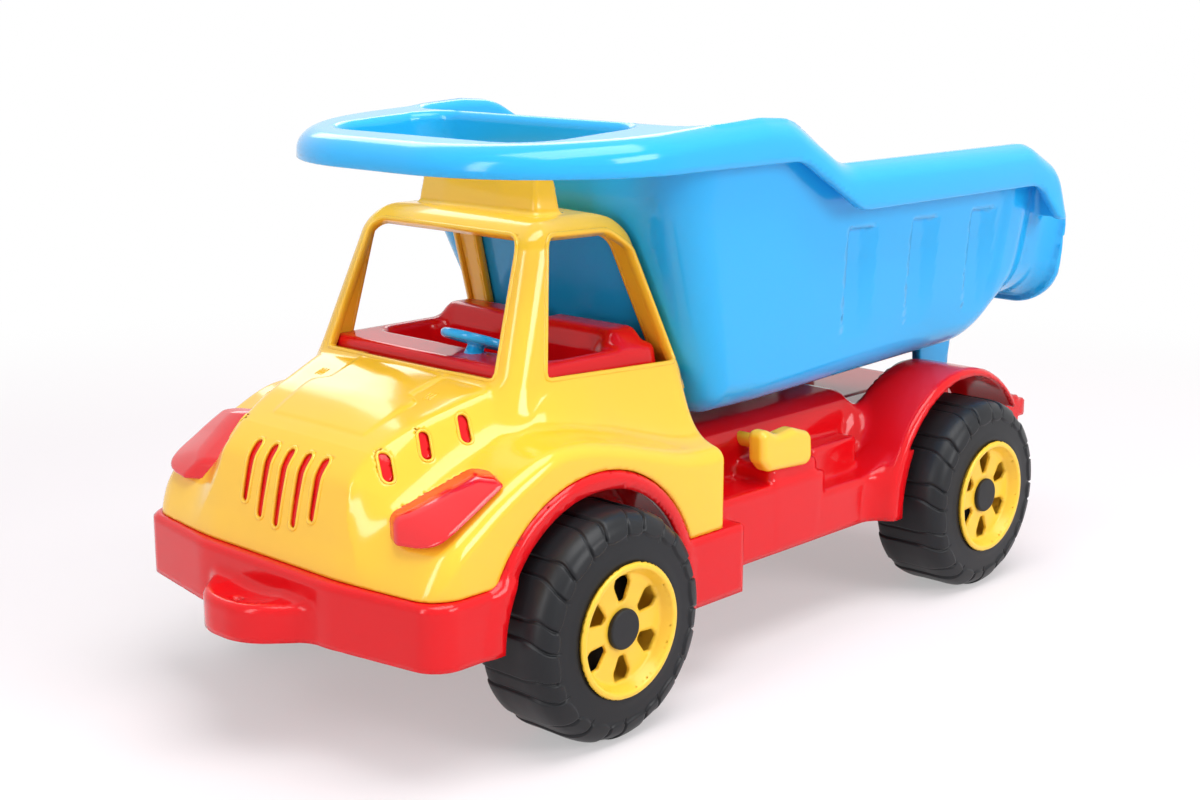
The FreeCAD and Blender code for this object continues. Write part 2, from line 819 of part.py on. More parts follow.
rear_window = prism([
    (-rear_window_half_width, belt_z + rear_window_sill, window_low_corner),
    (rear_window_half_width, belt_z + rear_window_sill, window_low_corner),
    (rear_window_top_half_width, roof_z - rear_window_top_drop, window_top_corner),
    (-rear_window_top_half_width, roof_z - rear_window_top_drop, window_top_corner),
], "X", ahead(-cab_rear - overrun), ahead(pillar_corner - roof_rear_back))
front_wells = both_sides(rod(arch_outer + seat_gap, front_axle_x, wheel_z, deck_half_width,
                             bumper_half_width + overrun))
chassis_clear = chassis_outer(-seat_gap)
lamp_from = V(ahead(lamp_start[0]), lamp_start[1], 0)
lamp_along = (V(ahead(lamp_finish[0]), lamp_finish[1], 0) - lamp_from).normalize()
lamp_outward = V(0, 0, 1).cross(lamp_along) * -1


def lamp_prism(shrink):
    """Lamp outline on the upright plane through its two ends, extruded both ways."""
    wire = outline_wire([(lamp_length * p[0], lamp_low_z + lamp_height * p[1], lamp_height * p[2])
                         for p in lamp_outline_shares], "Y", 0)
    face = Part.Face(wire)
    if shrink:
        face = Part.Face(wire.makeOffset2D(-shrink))
    turn = math.degrees(math.atan2(lamp_along.y, lamp_along.x))
    face.rotate(V(0, 0, 0), V(0, 0, 1), turn)
    face.translate(lamp_from - lamp_outward * (lamp_depth / 2))
    return face.extrude(lamp_outward * lamp_depth)


slots = []
for i in range(slot_count):
    place_in_row = i - (slot_count - 1) / 2
    middle = place_in_row * slot_pitch
    bottom = slot_bottoms[int(abs(place_in_row))]
    slots.append(prism([
        (middle - slot_width / 2, bottom, slot_end),
        (middle + slot_width / 2, bottom, slot_end),
        (middle + slot_width / 2, slot_top, slot_end),
        (middle - slot_width / 2, slot_top, slot_end),
    ], "X", ahead(slot_back), ahead(front_overhang)))
for distance, y, top in zip(louvre_distances, louvre_half_widths, louvre_tops):
    louvre = prism([
        (-louvre_width / 2, -louvre_height, louvre_end),
        (louvre_width / 2, -louvre_height, louvre_end),
        (louvre_width / 2, 0, louvre_end),
        (-louvre_width / 2, 0, louvre_end),
    ], "Y", -louvre_reach / 2, louvre_reach / 2)
    louvre.rotate(V(0, 0, 0), V(0, 0, 1), louvre_turn - 90)
    louvre.translate(V(ahead(distance), y, top))
    slots += both_sides(louvre)
lamp_holes = both_sides(lamp_prism(0))
cab = cab.cut([side_window, windshield, rear_window, chassis_clear] + front_wells + lamp_holes + slots)
nodes["cab_shell"] = cab.removeSplitter()

lamp = lamp_prism(lamp_gap).common(cab_body(-lamp_proud)).cut(body_hollow)
nodes["headlight_left"] = lamp
nodes["headlight_right"] = mirrored(lamp)
backing = cab_body(cab_wall + seat_gap).cut(cab_body(cab_wall + seat_gap + backing_thickness))
backing = backing.common(block(ahead(backing_rear), ahead(front_overhang), -backing_half_width, backing_half_width,
                               backing_bottom, cowl_z))
nodes["grille_backing"] = backing

# Interior: an open red tub with a ledge, a bench and two backrests, and the steering wheel.
bench_top = deck_top + bench_rise
back_rear = cab_rear - back_rear_gap
interior = interior_room(0)
interior = interior.cut(block(ahead(-back_rear), ahead(-dash_back), tub_wall - interior_half_width,
                              interior_half_width - tub_wall, deck_top + tub_wall, interior_top + overrun))
bench = interior_room(0).common(block(ahead(-interior_rear), ahead(-bench_front), -interior_half_width,
                                      interior_half_width, deck_top, bench_top))
back = block(ahead(-back_rear), ahead(-back_rear + back_length), back_inner_y, back_outer_y, bench_top,
             belt_z + back_rise)
back = rounded(back, back_corner, lambda edge: near(edge.BoundBox.ZMax, belt_z + back_rise))
liner_clear = both_sides(rod(arch_outer + seat_gap, front_axle_x, wheel_z,
                             deck_half_width - chassis_wall - seat_gap, bumper_half_width))
wheel_centre = V(ahead(steering_x), steering_y, belt_z + steering_rise)
column_line = V(-math.sin(math.radians(steering_tilt)), 0, math.cos(math.radians(steering_tilt)))
column_foot = wheel_centre - column_line * column_length
interior = fused([interior, bench] + both_sides(back))
column_hole = Part.makeCylinder(column_radius + shaft_clearance, column_length, column_foot, column_line)
interior = interior.cut([column_hole] + liner_clear)
nodes["cab_interior"] = interior.removeSplitter()

steering = Part.makeTorus(steering_radius, steering_rim, wheel_centre, column_line)
hub = Part.makeCylinder(steering_hub, steering_rim * 2, wheel_centre - column_line * steering_rim, column_line)
column = Part.makeCylinder(column_radius, column_length, column_foot, column_line)
spokes = []
for i in range(steering_spokes):
    spoke = Part.makeCylinder(steering_spoke, steering_radius, wheel_centre, V(0, 1, 0))
    spoke.rotate(wheel_centre, column_line, 360 / steering_spokes * i + 90)
    spokes.append(spoke)
nodes["steering_wheel"] = fused([steering, hub, column] + spokes)

# Bed: the tub, its rolled rim, the canopy over the cab and the tail chute are one blue moulding.
canopy_low_z = roof_z + roof_box_height + canopy_gap
hump_z = canopy_low_z + canopy_depth
rim_z = hump_z - rim_drop
rim_low_z = rim_z - rim_band
tip_z = hump_z - rim_tip_drop
rim_tip_x = behind_axle(rim_tip_behind_axle)
tub_low_z = deck_top + tub_floor_gap


def tub_front(level):
    """X of the tub's front wall, which slopes just clear of the back of the cab and then stands upright."""
    return behind_cab(tub_front_gap) + tub_front_slope * (min(level, roof_z) - belt_z)


def rim_side(inset):
    """Rim and canopy seen from the side."""
    low = inset * overrun
    return prism([
        (ahead(bed_front - inset), canopy_low_z - low),
        (ahead(bed_front - inset), hump_z - canopy_front_drop - inset),
        (behind_cab(hump_start_behind_cab), hump_z - inset, hump_curve),
        (behind_cab(hump_end_behind_cab), hump_z - hump_end_drop - inset, hump_curve),
        (behind_cab(dip_behind_cab), rim_z - inset, hump_curve),
        (behind_axle(rim_end_behind_axle - inset), rim_z - inset, hump_curve),
        (behind_axle(tail_bend_behind_axle - inset), hump_z - tail_bend_drop - inset, hump_curve),
        (rim_tip_x + inset, tip_z - low),
        (rim_tip_x + rim_tip_length, tip_z - low),
        (behind_axle(rim_low_end_behind_axle), rim_low_z - low, rim_curve),
        (behind_cab(dip_low_behind_cab), rim_low_z - low, rim_curve),
        (behind_cab(canopy_end_behind_cab), canopy_low_z - low, rim_curve),
    ], "Y", inset - bed_half_width, bed_half_width - inset)


def lid(inset):
    """Rim and canopy cut to the bed's outline from above, with their top edges rounded."""
    front = ahead(bed_front - inset)
    side = bed_half_width - inset
    plan = prism([
        (front, side, bed_front_corner - inset),
        (front, -side, bed_front_corner - inset),
        (rim_tip_x - overrun, -side),
        (rim_tip_x - overrun, side),
    ], "Z", 0, hump_z + overrun)
    shape = rim_side(inset).common(plan)

    def on_top(edge):
        box = edge.BoundBox
        middle = midpoint(edge)
        across = box.YLength > bed_half_width and middle.x < front - overrun
        upright = box.XLength < seat_gap and box.YLength < seat_gap
        probe = shape.isInside(middle + V(0, 0, seat_gap), Part.Precision.confusion(), True)
        inward = V(0, middle.y * seat_gap / side, seat_gap * 2)
        below = shape.isInside(middle - inward, Part.Precision.confusion(), True)
        return not across and not upright and below and not probe

    return rounded(shape, rim_round - inset, on_top)


def tub(inset, top_z):
    """Tapered tub with rounded corners, a round stern and straight walls up to the top."""
    floor_z = tub_low_z + inset
    stern = behind_axle(stern_behind_axle) + inset
    profile = prism([
        (tub_front(top_z) - inset, top_z),
        (tub_front(roof_z) - inset, roof_z),
        (tub_front(floor_z) - inset, floor_z),
        (stern, floor_z + tub_floor_rise, stern_curve),
        (stern, top_z),
    ], "Y", -bed_half_width, bed_half_width)
    slope = (tub_top_half_width - tub_bottom_half_width) / (hump_z - tub_low_z)
    low = tub_bottom_half_width + slope * inset - inset
    high = low + slope * (top_z - floor_z)
    section = prism([
        (-low, floor_z),
        (-high, top_z),
        (high, top_z),
        (low, floor_z),
    ], "X", stern - overrun, tub_front(top_z) + overrun)
    shape = profile.common(section)

    def front_corner(edge):
        box = edge.BoundBox
        return box.ZLength > overrun and box.XMin > tub_front(floor_z) - inset - seat_gap

    def stern_side(edge):
        box = edge.BoundBox
        return box.XMin < stern + seat_gap and box.YLength < tub_bottom_half_width and box.ZLength > overrun

    shape = rounded(shape, tub_front_corner - inset, front_corner)
    # The stern's sides run on smoothly into the floor's and the front's, so one fillet rounds them all.
    return rounded(shape, tub_edge - inset, stern_side)


def chute(inset, high_z):
    """Trough behind the stern that flares out to the tail."""
    wires = []
    stations = [
        (chute_start_behind_axle, 0, 0),
        (chute_waist_behind_axle, 0, 0),
        (chute_end_behind_axle, chute_flare, chute_drop),
    ]
    slope = (chute_top_half_width - chute_half_width) / (tip_z - tub_low_z - chute_low_rise)
    for distance, wider, lower in stations:
        low_z = tub_low_z + chute_low_rise - lower + inset
        low = chute_half_width + wider - inset
        high = low + slope * (high_z - low_z)
        wires.append(outline_wire([
            (-high, high_z),
            (-low, low_z, chute_corner - inset),
            (low, low_z, chute_corner - inset),
            (high, high_z),
        ], "X", behind_axle(distance)))
    return Part.makeLoft(wires, True, False)


def under_rim(shape):
    """Keeps what lies under the top of the rim and inside the slanting tail."""
    low = prism([
        (ahead(bed_front), canopy_low_z),
        (behind_cab(canopy_end_behind_cab), canopy_low_z),
        (behind_cab(dip_low_behind_cab), rim_low_z),
        (behind_axle(rim_low_end_behind_axle), rim_low_z),
        (rim_tip_x + rim_tip_length, tip_z),
        (behind_axle(chute_end_behind_axle - chute_lean), tip_z),
        (behind_axle(chute_end_behind_axle), tip_z - chute_top_drop, stern_corner),
        (behind_axle(chute_end_behind_axle), 0),
        (ahead(bed_front), 0),
    ], "Y", -bed_half_width, bed_half_width)
    return shape.common(low.fuse(whole_lid))


whole_lid = lid(0)
handle_front = ahead(bed_front - handle_front_gap)


def handle_opening(grow):
    corner = handle_corner + grow
    return prism([
        (handle_front + grow, handle_half_width + grow, corner),
        (handle_front + grow, -handle_half_width - grow, corner),
        (handle_front - handle_length - grow, -handle_half_width - grow, corner),
        (handle_front - handle_length - grow, handle_half_width + grow, corner),
    ], "Z", canopy_low_z - overrun, hump_z + overrun)


hollow_lid = lid(bed_wall).cut(handle_opening(bed_wall))
shell = whole_lid.cut([hollow_lid, handle_opening(0)])


def handle_edge(edge):
    middle = midpoint(edge)
    inside = handle_front - handle_length - seat_gap < middle.x < handle_front + seat_gap
    level = edge.BoundBox.ZMin > hump_z - canopy_depth / 2
    return inside and level and abs(middle.y) < handle_half_width + seat_gap


shell = rounded(shell, handle_round, handle_edge)
tub_top = hump_z - bed_wall
walls = under_rim(tub(0, tub_top).fuse(chute(0, tub_top)))
panels = []
for i in range(panel_count):
    front = behind_axle(-panel_start_ahead_of_axle) - panel_pitch * i
    top_z = hump_z - panel_top_drop
    low_z = top_z - panel_height
    panel = prism([
        (front, top_z, panel_corner),
        (front, low_z),
        (front - panel_width / 2, low_z + panel_height / 4, panel_corner),
        (front - panel_width, top_z, panel_corner),
    ], "Y", 0, bed_half_width)
    panels += both_sides(panel.cut(tub(panel_depth, tub_top)))
load = [tub(bed_wall, hump_z + overrun), chute(bed_wall, hump_z + overrun)]
bed = shell.fuse(walls).cut(load + panels)
ear_low = block(hinge_x - hinge_ear_half_length, hinge_x + hinge_ear_half_length, hinge_ear_y,
                hinge_ear_y + hinge_ear_thickness, hinge_z, tub_low_z + tub_floor_rise + hinge_ear_lap)
ear = fused([ear_low, rod(hinge_ear_radius, hinge_x, hinge_z, hinge_ear_y, hinge_ear_y + hinge_ear_thickness)])
ear = ear.cut(load)
bed = bed.fuse(both_sides(ear))
bed = bed.cut(rod(hinge_pin_radius + shaft_clearance, hinge_x, hinge_z, -bed_half_width, bed_half_width))
nodes["bed"] = bed.removeSplitter()
pin = rod(hinge_pin_radius, hinge_x, hinge_z, hinge_ear_y - hinge_side_gap - hinge_post_thickness,
          post_y + hinge_post_thickness)
for side in sides:
    nodes["hinge_pin_" + side] = pin if side == "left" else mirrored(pin)

os.makedirs("parts", exist_ok=True)
for name, shape in nodes.items():
    solids = len(shape.Solids)
    print(name, "solids", solids, "valid", shape.isValid(), "volume", round(shape.Volume))
    shape.exportStep("parts/" + name + ".step")
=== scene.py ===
import bpy
import bmesh
import functools
import math
import numpy as np
from mathutils import Matrix, Vector


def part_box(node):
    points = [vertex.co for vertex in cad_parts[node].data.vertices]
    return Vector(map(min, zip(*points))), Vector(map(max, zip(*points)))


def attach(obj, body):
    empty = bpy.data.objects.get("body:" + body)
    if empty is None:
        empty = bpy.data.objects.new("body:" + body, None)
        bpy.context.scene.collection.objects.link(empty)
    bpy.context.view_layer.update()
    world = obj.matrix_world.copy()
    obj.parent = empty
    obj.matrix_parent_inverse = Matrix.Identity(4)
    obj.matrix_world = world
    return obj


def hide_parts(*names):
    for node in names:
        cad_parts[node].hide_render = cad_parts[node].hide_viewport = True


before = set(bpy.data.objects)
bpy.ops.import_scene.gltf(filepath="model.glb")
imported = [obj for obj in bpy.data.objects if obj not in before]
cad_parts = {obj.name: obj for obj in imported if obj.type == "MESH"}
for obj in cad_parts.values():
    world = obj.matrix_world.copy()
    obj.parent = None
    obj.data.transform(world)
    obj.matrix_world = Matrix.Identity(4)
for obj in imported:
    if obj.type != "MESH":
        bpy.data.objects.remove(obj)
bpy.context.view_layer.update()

# Where things are. Distances are in metres, and the cab's are taken from the front axle,
# as in the solids: the axle is found from the front tyre.
tyre_low, tyre_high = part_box("tyre_front_left")
front_axle = (tyre_low.x + tyre_high.x) / 2
tyre_radius = (tyre_high.z - tyre_low.z) / 2
rear_low, rear_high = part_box("tyre_rear_left")
rear_axle = (rear_low.x + rear_high.x) / 2
rear_ahead = rear_axle - front_axle
sides = {"left": 1, "right": -1}

# Camera: a long lens on a tripod, ahead of the truck's left front corner and just above its roof.
camera_ahead = 0.59504
camera_left = 0.66872
camera_height = 0.35199
camera_bearing = math.radians(223.12)
camera_down = math.radians(12.88)
camera_roll = 0.0038
camera = bpy.data.objects.new("camera", bpy.data.cameras.new("camera"))
camera.data.sensor_width = 36
camera.data.lens = 53.92
camera.data.clip_start = 0.01
camera.matrix_world = (
    Matrix.Translation((front_axle + camera_ahead, camera_left, camera_height))
    @ Matrix.Rotation(camera_bearing - math.pi / 2, 4, "Z")
    @ Matrix.Rotation(math.pi / 2 - camera_down, 4, "X")
    @ Matrix.Rotation(camera_roll, 4, "Z"))
bpy.context.scene.collection.objects.link(camera)
bpy.context.scene.camera = camera
bpy.context.scene.view_settings.view_transform = "Standard"


# Studio: a white paper sweep lit by a large softbox overhead, a strip light ahead for the long
# highlights on the plastic, and two smaller softboxes, at its left and behind it on the right.
white = (1.0, 1.0, 1.0, 1.0)
world = bpy.data.worlds.new("studio_air")
bpy.context.scene.world = world
world.use_nodes = True
nodes = world.node_tree.nodes
links = world.node_tree.links
nodes.clear()


def add_node(nodes, kind, constants=None, **settings):
    """New shader node with its settings, and constants on its own sockets."""
    node = nodes.new("ShaderNode" + kind)
    for setting, value in settings.items():
        setattr(node, setting, value)
    for socket, value in (constants or {}).items():
        node.inputs[socket].default_value = value
    return node


def backdrop_rays(nodes, links):
    """One for rays that show the backdrop itself: to the camera, mirrored, or through something clear."""
    path = add_node(nodes, "LightPath")
    total = path.outputs["Is Camera Ray"]
    for kind in ("Is Glossy Ray", "Is Transmission Ray"):
        either = add_node(nodes, "Math", operation="MAXIMUM")
        links.new(total, either.inputs[0])
        links.new(path.outputs[kind], either.inputs[1])
        total = either.outputs["Value"]
    return total


air = add_node(nodes, "Background", {"Color": (0.94, 0.96, 1.0, 1.0), "Strength": 0.36})
backdrop = add_node(nodes, "Background", {"Color": white, "Strength": 1.0})
seen = add_node(nodes, "MixShader")
output = add_node(nodes, "OutputWorld")
links.new(backdrop_rays(nodes, links), seen.inputs[0])
links.new(air.outputs[0], seen.inputs[1])
links.new(backdrop.outputs[0], seen.inputs[2])
links.new(seen.outputs[0], output.inputs["Surface"])

# Each light's place, width, height and power in watts. All of them aim at the truck's middle.
softboxes = {
    "overhead_softbox": ((0.1, 0.45, 1.6), 1.3, 1.0, 21),
    "front_strip": ((1.5, 0.15, 0.75), 0.30, 1.2, 7),
    "left_softbox": ((-0.25, 1.7, 0.85), 0.9, 0.7, 15),
    "back_softbox": ((-0.70, -1.05, 1.05), 1.1, 0.7, 7),
}
truck_middle = Vector((0, 0, 0.12))
for name, (place, width, height, power) in softboxes.items():
    lamp = bpy.data.lights.new(name, "AREA")
    lamp.shape = "RECTANGLE"
    lamp.size = width
    lamp.size_y = height
    lamp.energy = power
    holder = bpy.data.objects.new(name, lamp)
    holder.location = place
    holder.rotation_euler = (truck_middle - Vector(place)).to_track_quat("-Z", "Y").to_euler()
    bpy.context.scene.collection.objects.link(holder)

# Floor: the paper itself, which fades into the white behind it and keeps the truck's shadow. Its pink tint is
# painted light: the red that the truck's bodywork bounces into that shadow.
floor_size = 8.0
fade_start = 0.45
fade_end = 1.1
fade_least = 0.40
bpy.ops.mesh.primitive_plane_add(size=floor_size)
floor = bpy.context.object
floor.name = "floor"
paper = bpy.data.materials.new("floor_paper")
paper.use_nodes = True
nodes = paper.node_tree.nodes
links = paper.node_tree.links
nodes.clear()
# The sheet's pink tint is painted red bounce light from the truck, not the colour of the paper.
sheet = add_node(nodes, "BsdfDiffuse", {"Color": (0.86, 0.79, 0.81, 1.0)})
glow = add_node(nodes, "Emission", {"Color": white, "Strength": 1.0})
place = add_node(nodes, "TexCoord")
reach = add_node(nodes, "VectorMath", operation="LENGTH")
fade = add_node(nodes, "MapRange", {"From Min": fade_start, "From Max": fade_end, "To Min": fade_least},
                interpolation_type="SMOOTHSTEP")
shown = add_node(nodes, "Math", operation="MULTIPLY")
mixed = add_node(nodes, "MixShader")
output = add_node(nodes, "OutputMaterial")
links.new(place.outputs["Object"], reach.inputs[0])
links.new(reach.outputs["Value"], fade.inputs["Value"])
links.new(fade.outputs["Result"], shown.inputs[0])
links.new(backdrop_rays(nodes, links), shown.inputs[1])
links.new(shown.outputs["Value"], mixed.inputs[0])
links.new(sheet.outputs[0], mixed.inputs[1])
links.new(glow.outputs[0], mixed.inputs[2])
links.new(mixed.outputs[0], output.inputs["Surface"])
floor.data.materials.append(paper)


def node_group(name, inputs, outputs):
    """Empty shader group with named sockets, with its nodes for what enters and what leaves it."""
    group = bpy.data.node_groups.new(name, "ShaderNodeTree")
    for label, kind, value in inputs:
        socket = group.interface.new_socket(label, in_out="INPUT", socket_type=kind)
        socket.default_value = value
    for label, kind in outputs:
        group.interface.new_socket(label, in_out="OUTPUT", socket_type=kind)
    entry = group.nodes.new("NodeGroupInput")
    leave = group.nodes.new("NodeGroupOutput")
    return group, entry, leave


# Moulded plastic: glossy polypropylene. Its skin has the faint waviness of a blow-moulded wall,
# a very fine grain, a few hairline rubs, and every edge is rounded off by the mould.
moulded_skin, entry, leave = node_group(
    "moulded_skin",
    [("Edge Radius", "NodeSocketFloat", 0.0008), ("Waviness", "NodeSocketFloat", 0.06),
     ("Grain", "NodeSocketFloat", 0.05), ("Roughness", "NodeSocketFloat", 0.2),
     ("Rub", "NodeSocketFloat", 0.1)],
    [("Normal", "NodeSocketVector"), ("Roughness", "NodeSocketFloat")])
nodes = moulded_skin.nodes
links = moulded_skin.links
place = add_node(nodes, "TexCoord")
edge = add_node(nodes, "Bevel", samples=6)
waves = add_node(nodes, "TexNoise", {"Scale": 28, "Detail": 1})
grain = add_node(nodes, "TexNoise", {"Scale": 1400, "Detail": 3})
rubs = add_node(nodes, "TexNoise", {"Scale": 9, "Detail": 6, "Roughness": 0.7})
wave_bump = add_node(nodes, "Bump", {"Distance": 0.002})
grain_bump = add_node(nodes, "Bump", {"Distance": 0.00005})
spread = add_node(nodes, "MapRange", {"From Min": 0.35, "From Max": 0.75})
added = add_node(nodes, "Math", operation="MULTIPLY_ADD")
links.new(entry.outputs["Edge Radius"], edge.inputs["Radius"])
for texture in (waves, grain, rubs):
    links.new(place.outputs["Object"], texture.inputs["Vector"])
links.new(waves.outputs["Fac"], wave_bump.inputs["Height"])
links.new(entry.outputs["Waviness"], wave_bump.inputs["Strength"])
links.new(edge.outputs["Normal"], wave_bump.inputs["Normal"])
links.new(grain.outputs["Fac"], grain_bump.inputs["Height"])
links.new(entry.outputs["Grain"], grain_bump.inputs["Strength"])
links.new(wave_bump.outputs["Normal"], grain_bump.inputs["Normal"])
links.new(grain_bump.outputs["Normal"], leave.inputs["Normal"])
links.new(rubs.outputs["Fac"], spread.inputs["Value"])
links.new(spread.outputs["Result"], added.inputs[0])
links.new(entry.outputs["Rub"], added.inputs[1])
links.new(entry.outputs["Roughness"], added.inputs[2])
links.new(added.outputs["Value"], leave.inputs["Roughness"])

pigment, entry, leave = node_group(
    "pigment",
    [("Colour", "NodeSocketColor", white), ("Deep Colour", "NodeSocketColor", white),
     ("Streaks", "NodeSocketFloat", 0.3)],
    [("Colour", "NodeSocketColor")])
nodes = pigment.nodes
links = pigment.links
place = add_node(nodes, "TexCoord")
clouds = add_node(nodes, "TexNoise", {"Scale": 7, "Detail": 4})
amount = add_node(nodes, "Math", operation="MULTIPLY")
blend = add_node(nodes, "Mix", data_type="RGBA")
links.new(place.outputs["Object"], clouds.inputs["Vector"])
links.new(clouds.outputs["Fac"], amount.inputs[0])
links.new(entry.outputs["Streaks"], amount.inputs[1])
links.new(amount.outputs["Value"], blend.inputs["Factor"])
links.new(entry.outputs["Colour"], blend.inputs[6])
links.new(entry.outputs["Deep Colour"], blend.inputs[7])
links.new(blend.outputs[2], leave.inputs["Colour"])


def plastic(name, colour, deep, roughness, edge_radius, coat=0.08, shine=0.4, grain=0.03):
    """Coloured plastic with its own gloss, grain and edge rounding."""
    material = bpy.data.materials.new(name)
    material.use_nodes = True
    nodes = material.node_tree.nodes
    links = material.node_tree.links
    shader = nodes["Principled BSDF"]
    touch = add_node(nodes, "Group", node_tree=moulded_skin)
    dye = add_node(nodes, "Group", node_tree=pigment)
    constants = (
        (touch, "Edge Radius", edge_radius), (touch, "Grain", grain), (touch, "Roughness", roughness),
        (dye, "Colour", colour + (1.0,)), (dye, "Deep Colour", deep + (1.0,)),
        (shader, "IOR", 1.5), (shader, "Specular IOR Level", shine),
        (shader, "Coat Weight", coat), (shader, "Coat Roughness", 0.06))
    for node, socket, value in constants:
        node.inputs[socket].default_value = value
    links.new(dye.outputs["Colour"], shader.inputs["Base Color"])
    links.new(touch.outputs["Roughness"], shader.inputs["Roughness"])
    links.new(touch.outputs["Normal"], shader.inputs["Normal"])
    return material


red_plastic = plastic("red_plastic", (0.72, 0.004, 0.008), (0.62, 0.002, 0.006), 0.10, 0.0012,
                      coat=0.05, shine=0.3)
yellow_plastic = plastic("yellow_plastic", (0.95, 0.56, 0.035), (0.92, 0.50, 0.025), 0.10, 0.0012, coat=0.3)
blue_plastic = plastic("blue_plastic", (0.018, 0.43, 0.88), (0.012, 0.38, 0.82), 0.11, 0.0012)
lamp_plastic = plastic("lamp_plastic", (0.74, 0.004, 0.010), (0.68, 0.002, 0.008), 0.05, 0.0006, coat=0.5)
rim_plastic = plastic("rim_plastic", (0.93, 0.58, 0.045), (0.88, 0.52, 0.035), 0.3, 0.0005)
tyre_plastic = plastic("tyre_plastic", (0.012, 0.013, 0.015), (0.018, 0.019, 0.021), 0.36, 0.0006,
                       coat=0, shine=0.25)
cap_plastic = plastic("cap_plastic", (0.014, 0.015, 0.017), (0.02, 0.02, 0.022), 0.5, 0.0006,
                      coat=0, shine=0.3, grain=0.6)
rod_steel = plastic("rod_steel", (0.6, 0.6, 0.62), (0.5, 0.5, 0.52), 0.25, 0.0003)
rod_steel.node_tree.nodes["Principled BSDF"].inputs["Metallic"].default_value = 1.0
finishes = {
    "chassis": red_plastic, "cab_interior": red_plastic, "grille_backing": red_plastic,
    "cab_shell": yellow_plastic, "tip_lever": yellow_plastic, "bed": blue_plastic,
    "steering_wheel": blue_plastic, "axle_front": rod_steel, "axle_rear": rod_steel,
}
for side in sides:
    finishes[f"headlight_{side}"] = lamp_plastic
    finishes[f"hinge_pin_{side}"] = rod_steel
    for end in ("front", "rear"):
        finishes[f"tyre_{end}_{side}"] = tyre_plastic
        finishes[f"rim_{end}_{side}"] = rim_plastic
        finishes[f"hub_cap_{end}_{side}"] = cap_plastic
for name, finish in finishes.items():
    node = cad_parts[name]
    node.data.materials.clear()
    node.data.materials.append(finish)


# Cab shell: one thin yellow moulding of hood, fenders, pillars and roof, pressed onto the red
# chassis. Its outside is drawn as a skin with soft blends, thickened inwards by one wall, and
# then the windows, wheel arches, lamp holes, grille slots and louvres are cut through it.
def meet(a, b, radius):
    """Where both shapes are, with the edge between them rounded."""
    out_a = np.maximum(radius + a, 0)
    out_b = np.maximum(radius + b, 0)
    return np.minimum(-radius, np.maximum(a, b)) + np.sqrt(out_a * out_a + out_b * out_b)


def join(a, b, radius):
    """Where either shape is, with the inside corner between them filled."""
    return -meet(-a, -b, radius)


def overlap(*shapes):
    """Where all the shapes are."""
    return functools.reduce(np.maximum, shapes)


def union(*shapes):
    """Where any of the shapes is."""
    return functools.reduce(np.minimum, shapes)


def from_centre(u, v):
    """Distance from a centre that u and v are taken from."""
    return np.sqrt(u * u + v * v)


def unit(vectors):
    """Rows of vectors, each brought to a length of one."""
    return vectors / np.maximum(np.linalg.norm(vectors, axis=1), 1e-9)[:, None]


def mirrored(corners, axis=1):
    """Corners of a closed outline and then their mirror images, with u turned round (0) or v (1)."""
    turned = [corner[:axis] + (-corner[axis],) + corner[axis + 1:] for corner in corners[::-1]]
    return corners + turned


def soft_ramp(distance, width):
    """Zero before a kink and the distance after it, turning softly over the width."""
    return (distance + np.sqrt(distance * distance + width * width)) / 2


def along(x, places, values):
    """Smooth curve through values at increasing places."""
    places = np.asarray(places, float)
    values = np.asarray(values, float)
    slopes = np.gradient(values, places)
    x = np.clip(x, places[0], places[-1])
    span = np.clip(np.searchsorted(places, x) - 1, 0, len(places) - 2)
    length = places[span + 1] - places[span]
    t = (x - places[span]) / length
    start = (1 + 2 * t) * (1 - t) ** 2 * values[span] + t * (1 - t) ** 2 * length * slopes[span]
    finish = t * t * (3 - 2 * t) * values[span + 1] + t * t * (t - 1) * length * slopes[span + 1]
    return start + finish


sharpest_corner = 0.0004


def outline(u, v, corners):
    """Distance to a closed outline of (u, v, radius) corners, negative inside it."""
    points = [Vector(c[:2]) for c in corners]
    count = len(points)
    area = sum(points[i].cross(points[(i + 1) % count]) for i in range(count))
    turn = 1 if area > 0 else -1
    arcs = []
    for i, corner in enumerate(corners):
        radius = corner[2] if len(corner) > 2 else sharpest_corner
        before = (points[i - 1] - points[i]).normalized()
        after = (points[(i + 1) % count] - points[i]).normalized()
        half = before.angle(after) / 2
        reach = radius / math.tan(half)
        inward = (before + after).normalized()
        centre = points[i] + inward * (radius / math.sin(half))
        convex = 1 if (-before).cross(after) * turn > 0 else -1
        arcs.append((points[i] + before * reach, points[i] + after * reach, centre, radius, -inward,
                     math.sin(half), convex))
    best = np.full(np.broadcast(u, v).shape, 1.0)
    for i, arc in enumerate(arcs):
        start = arc[1]
        run = arcs[(i + 1) % count][0] - start
        length = run.length
        du = u - start[0]
        dv = v - start[1]
        reached = (du * run[0] + dv * run[1]) / length
        distance = (du * run[1] - dv * run[0]) / length * turn
        near = (reached >= 0) & (reached <= length) & (np.abs(distance) < np.abs(best))
        best = np.where(near, distance, best)
        du = u - arc[2][0]
        dv = v - arc[2][1]
        away = from_centre(du, dv) + 1e-12
        distance = (away - arc[3]) * arc[6]
        facing = (du * arc[4][0] + dv * arc[4][1]) / away >= arc[5]
        near = facing & (np.abs(distance) < np.abs(best))
        best = np.where(near, distance, best)
    return best


def new_piece(name, mesh, material):
    """Object of a mesh, in its material, in the scene."""
    mesh.materials.append(material)
    piece = bpy.data.objects.new(name, mesh)
    bpy.context.scene.collection.objects.link(piece)
    return piece


# How skin() finds its surface: the nudge for slopes as a share of the step, the halvings of each
# crossing, how firmly a point is held to its cell's middle, how much the planes of a cell have to
# agree for it to be smooth, and the moves that bring smooth points onto the surface.
nudge_share = 0.1
crossing_rounds = 3
hold = 0.06
agree_limit, agree_width = 0.985, 0.03
move_rounds, least_slope, move_share = 2, 0.2, 0.3


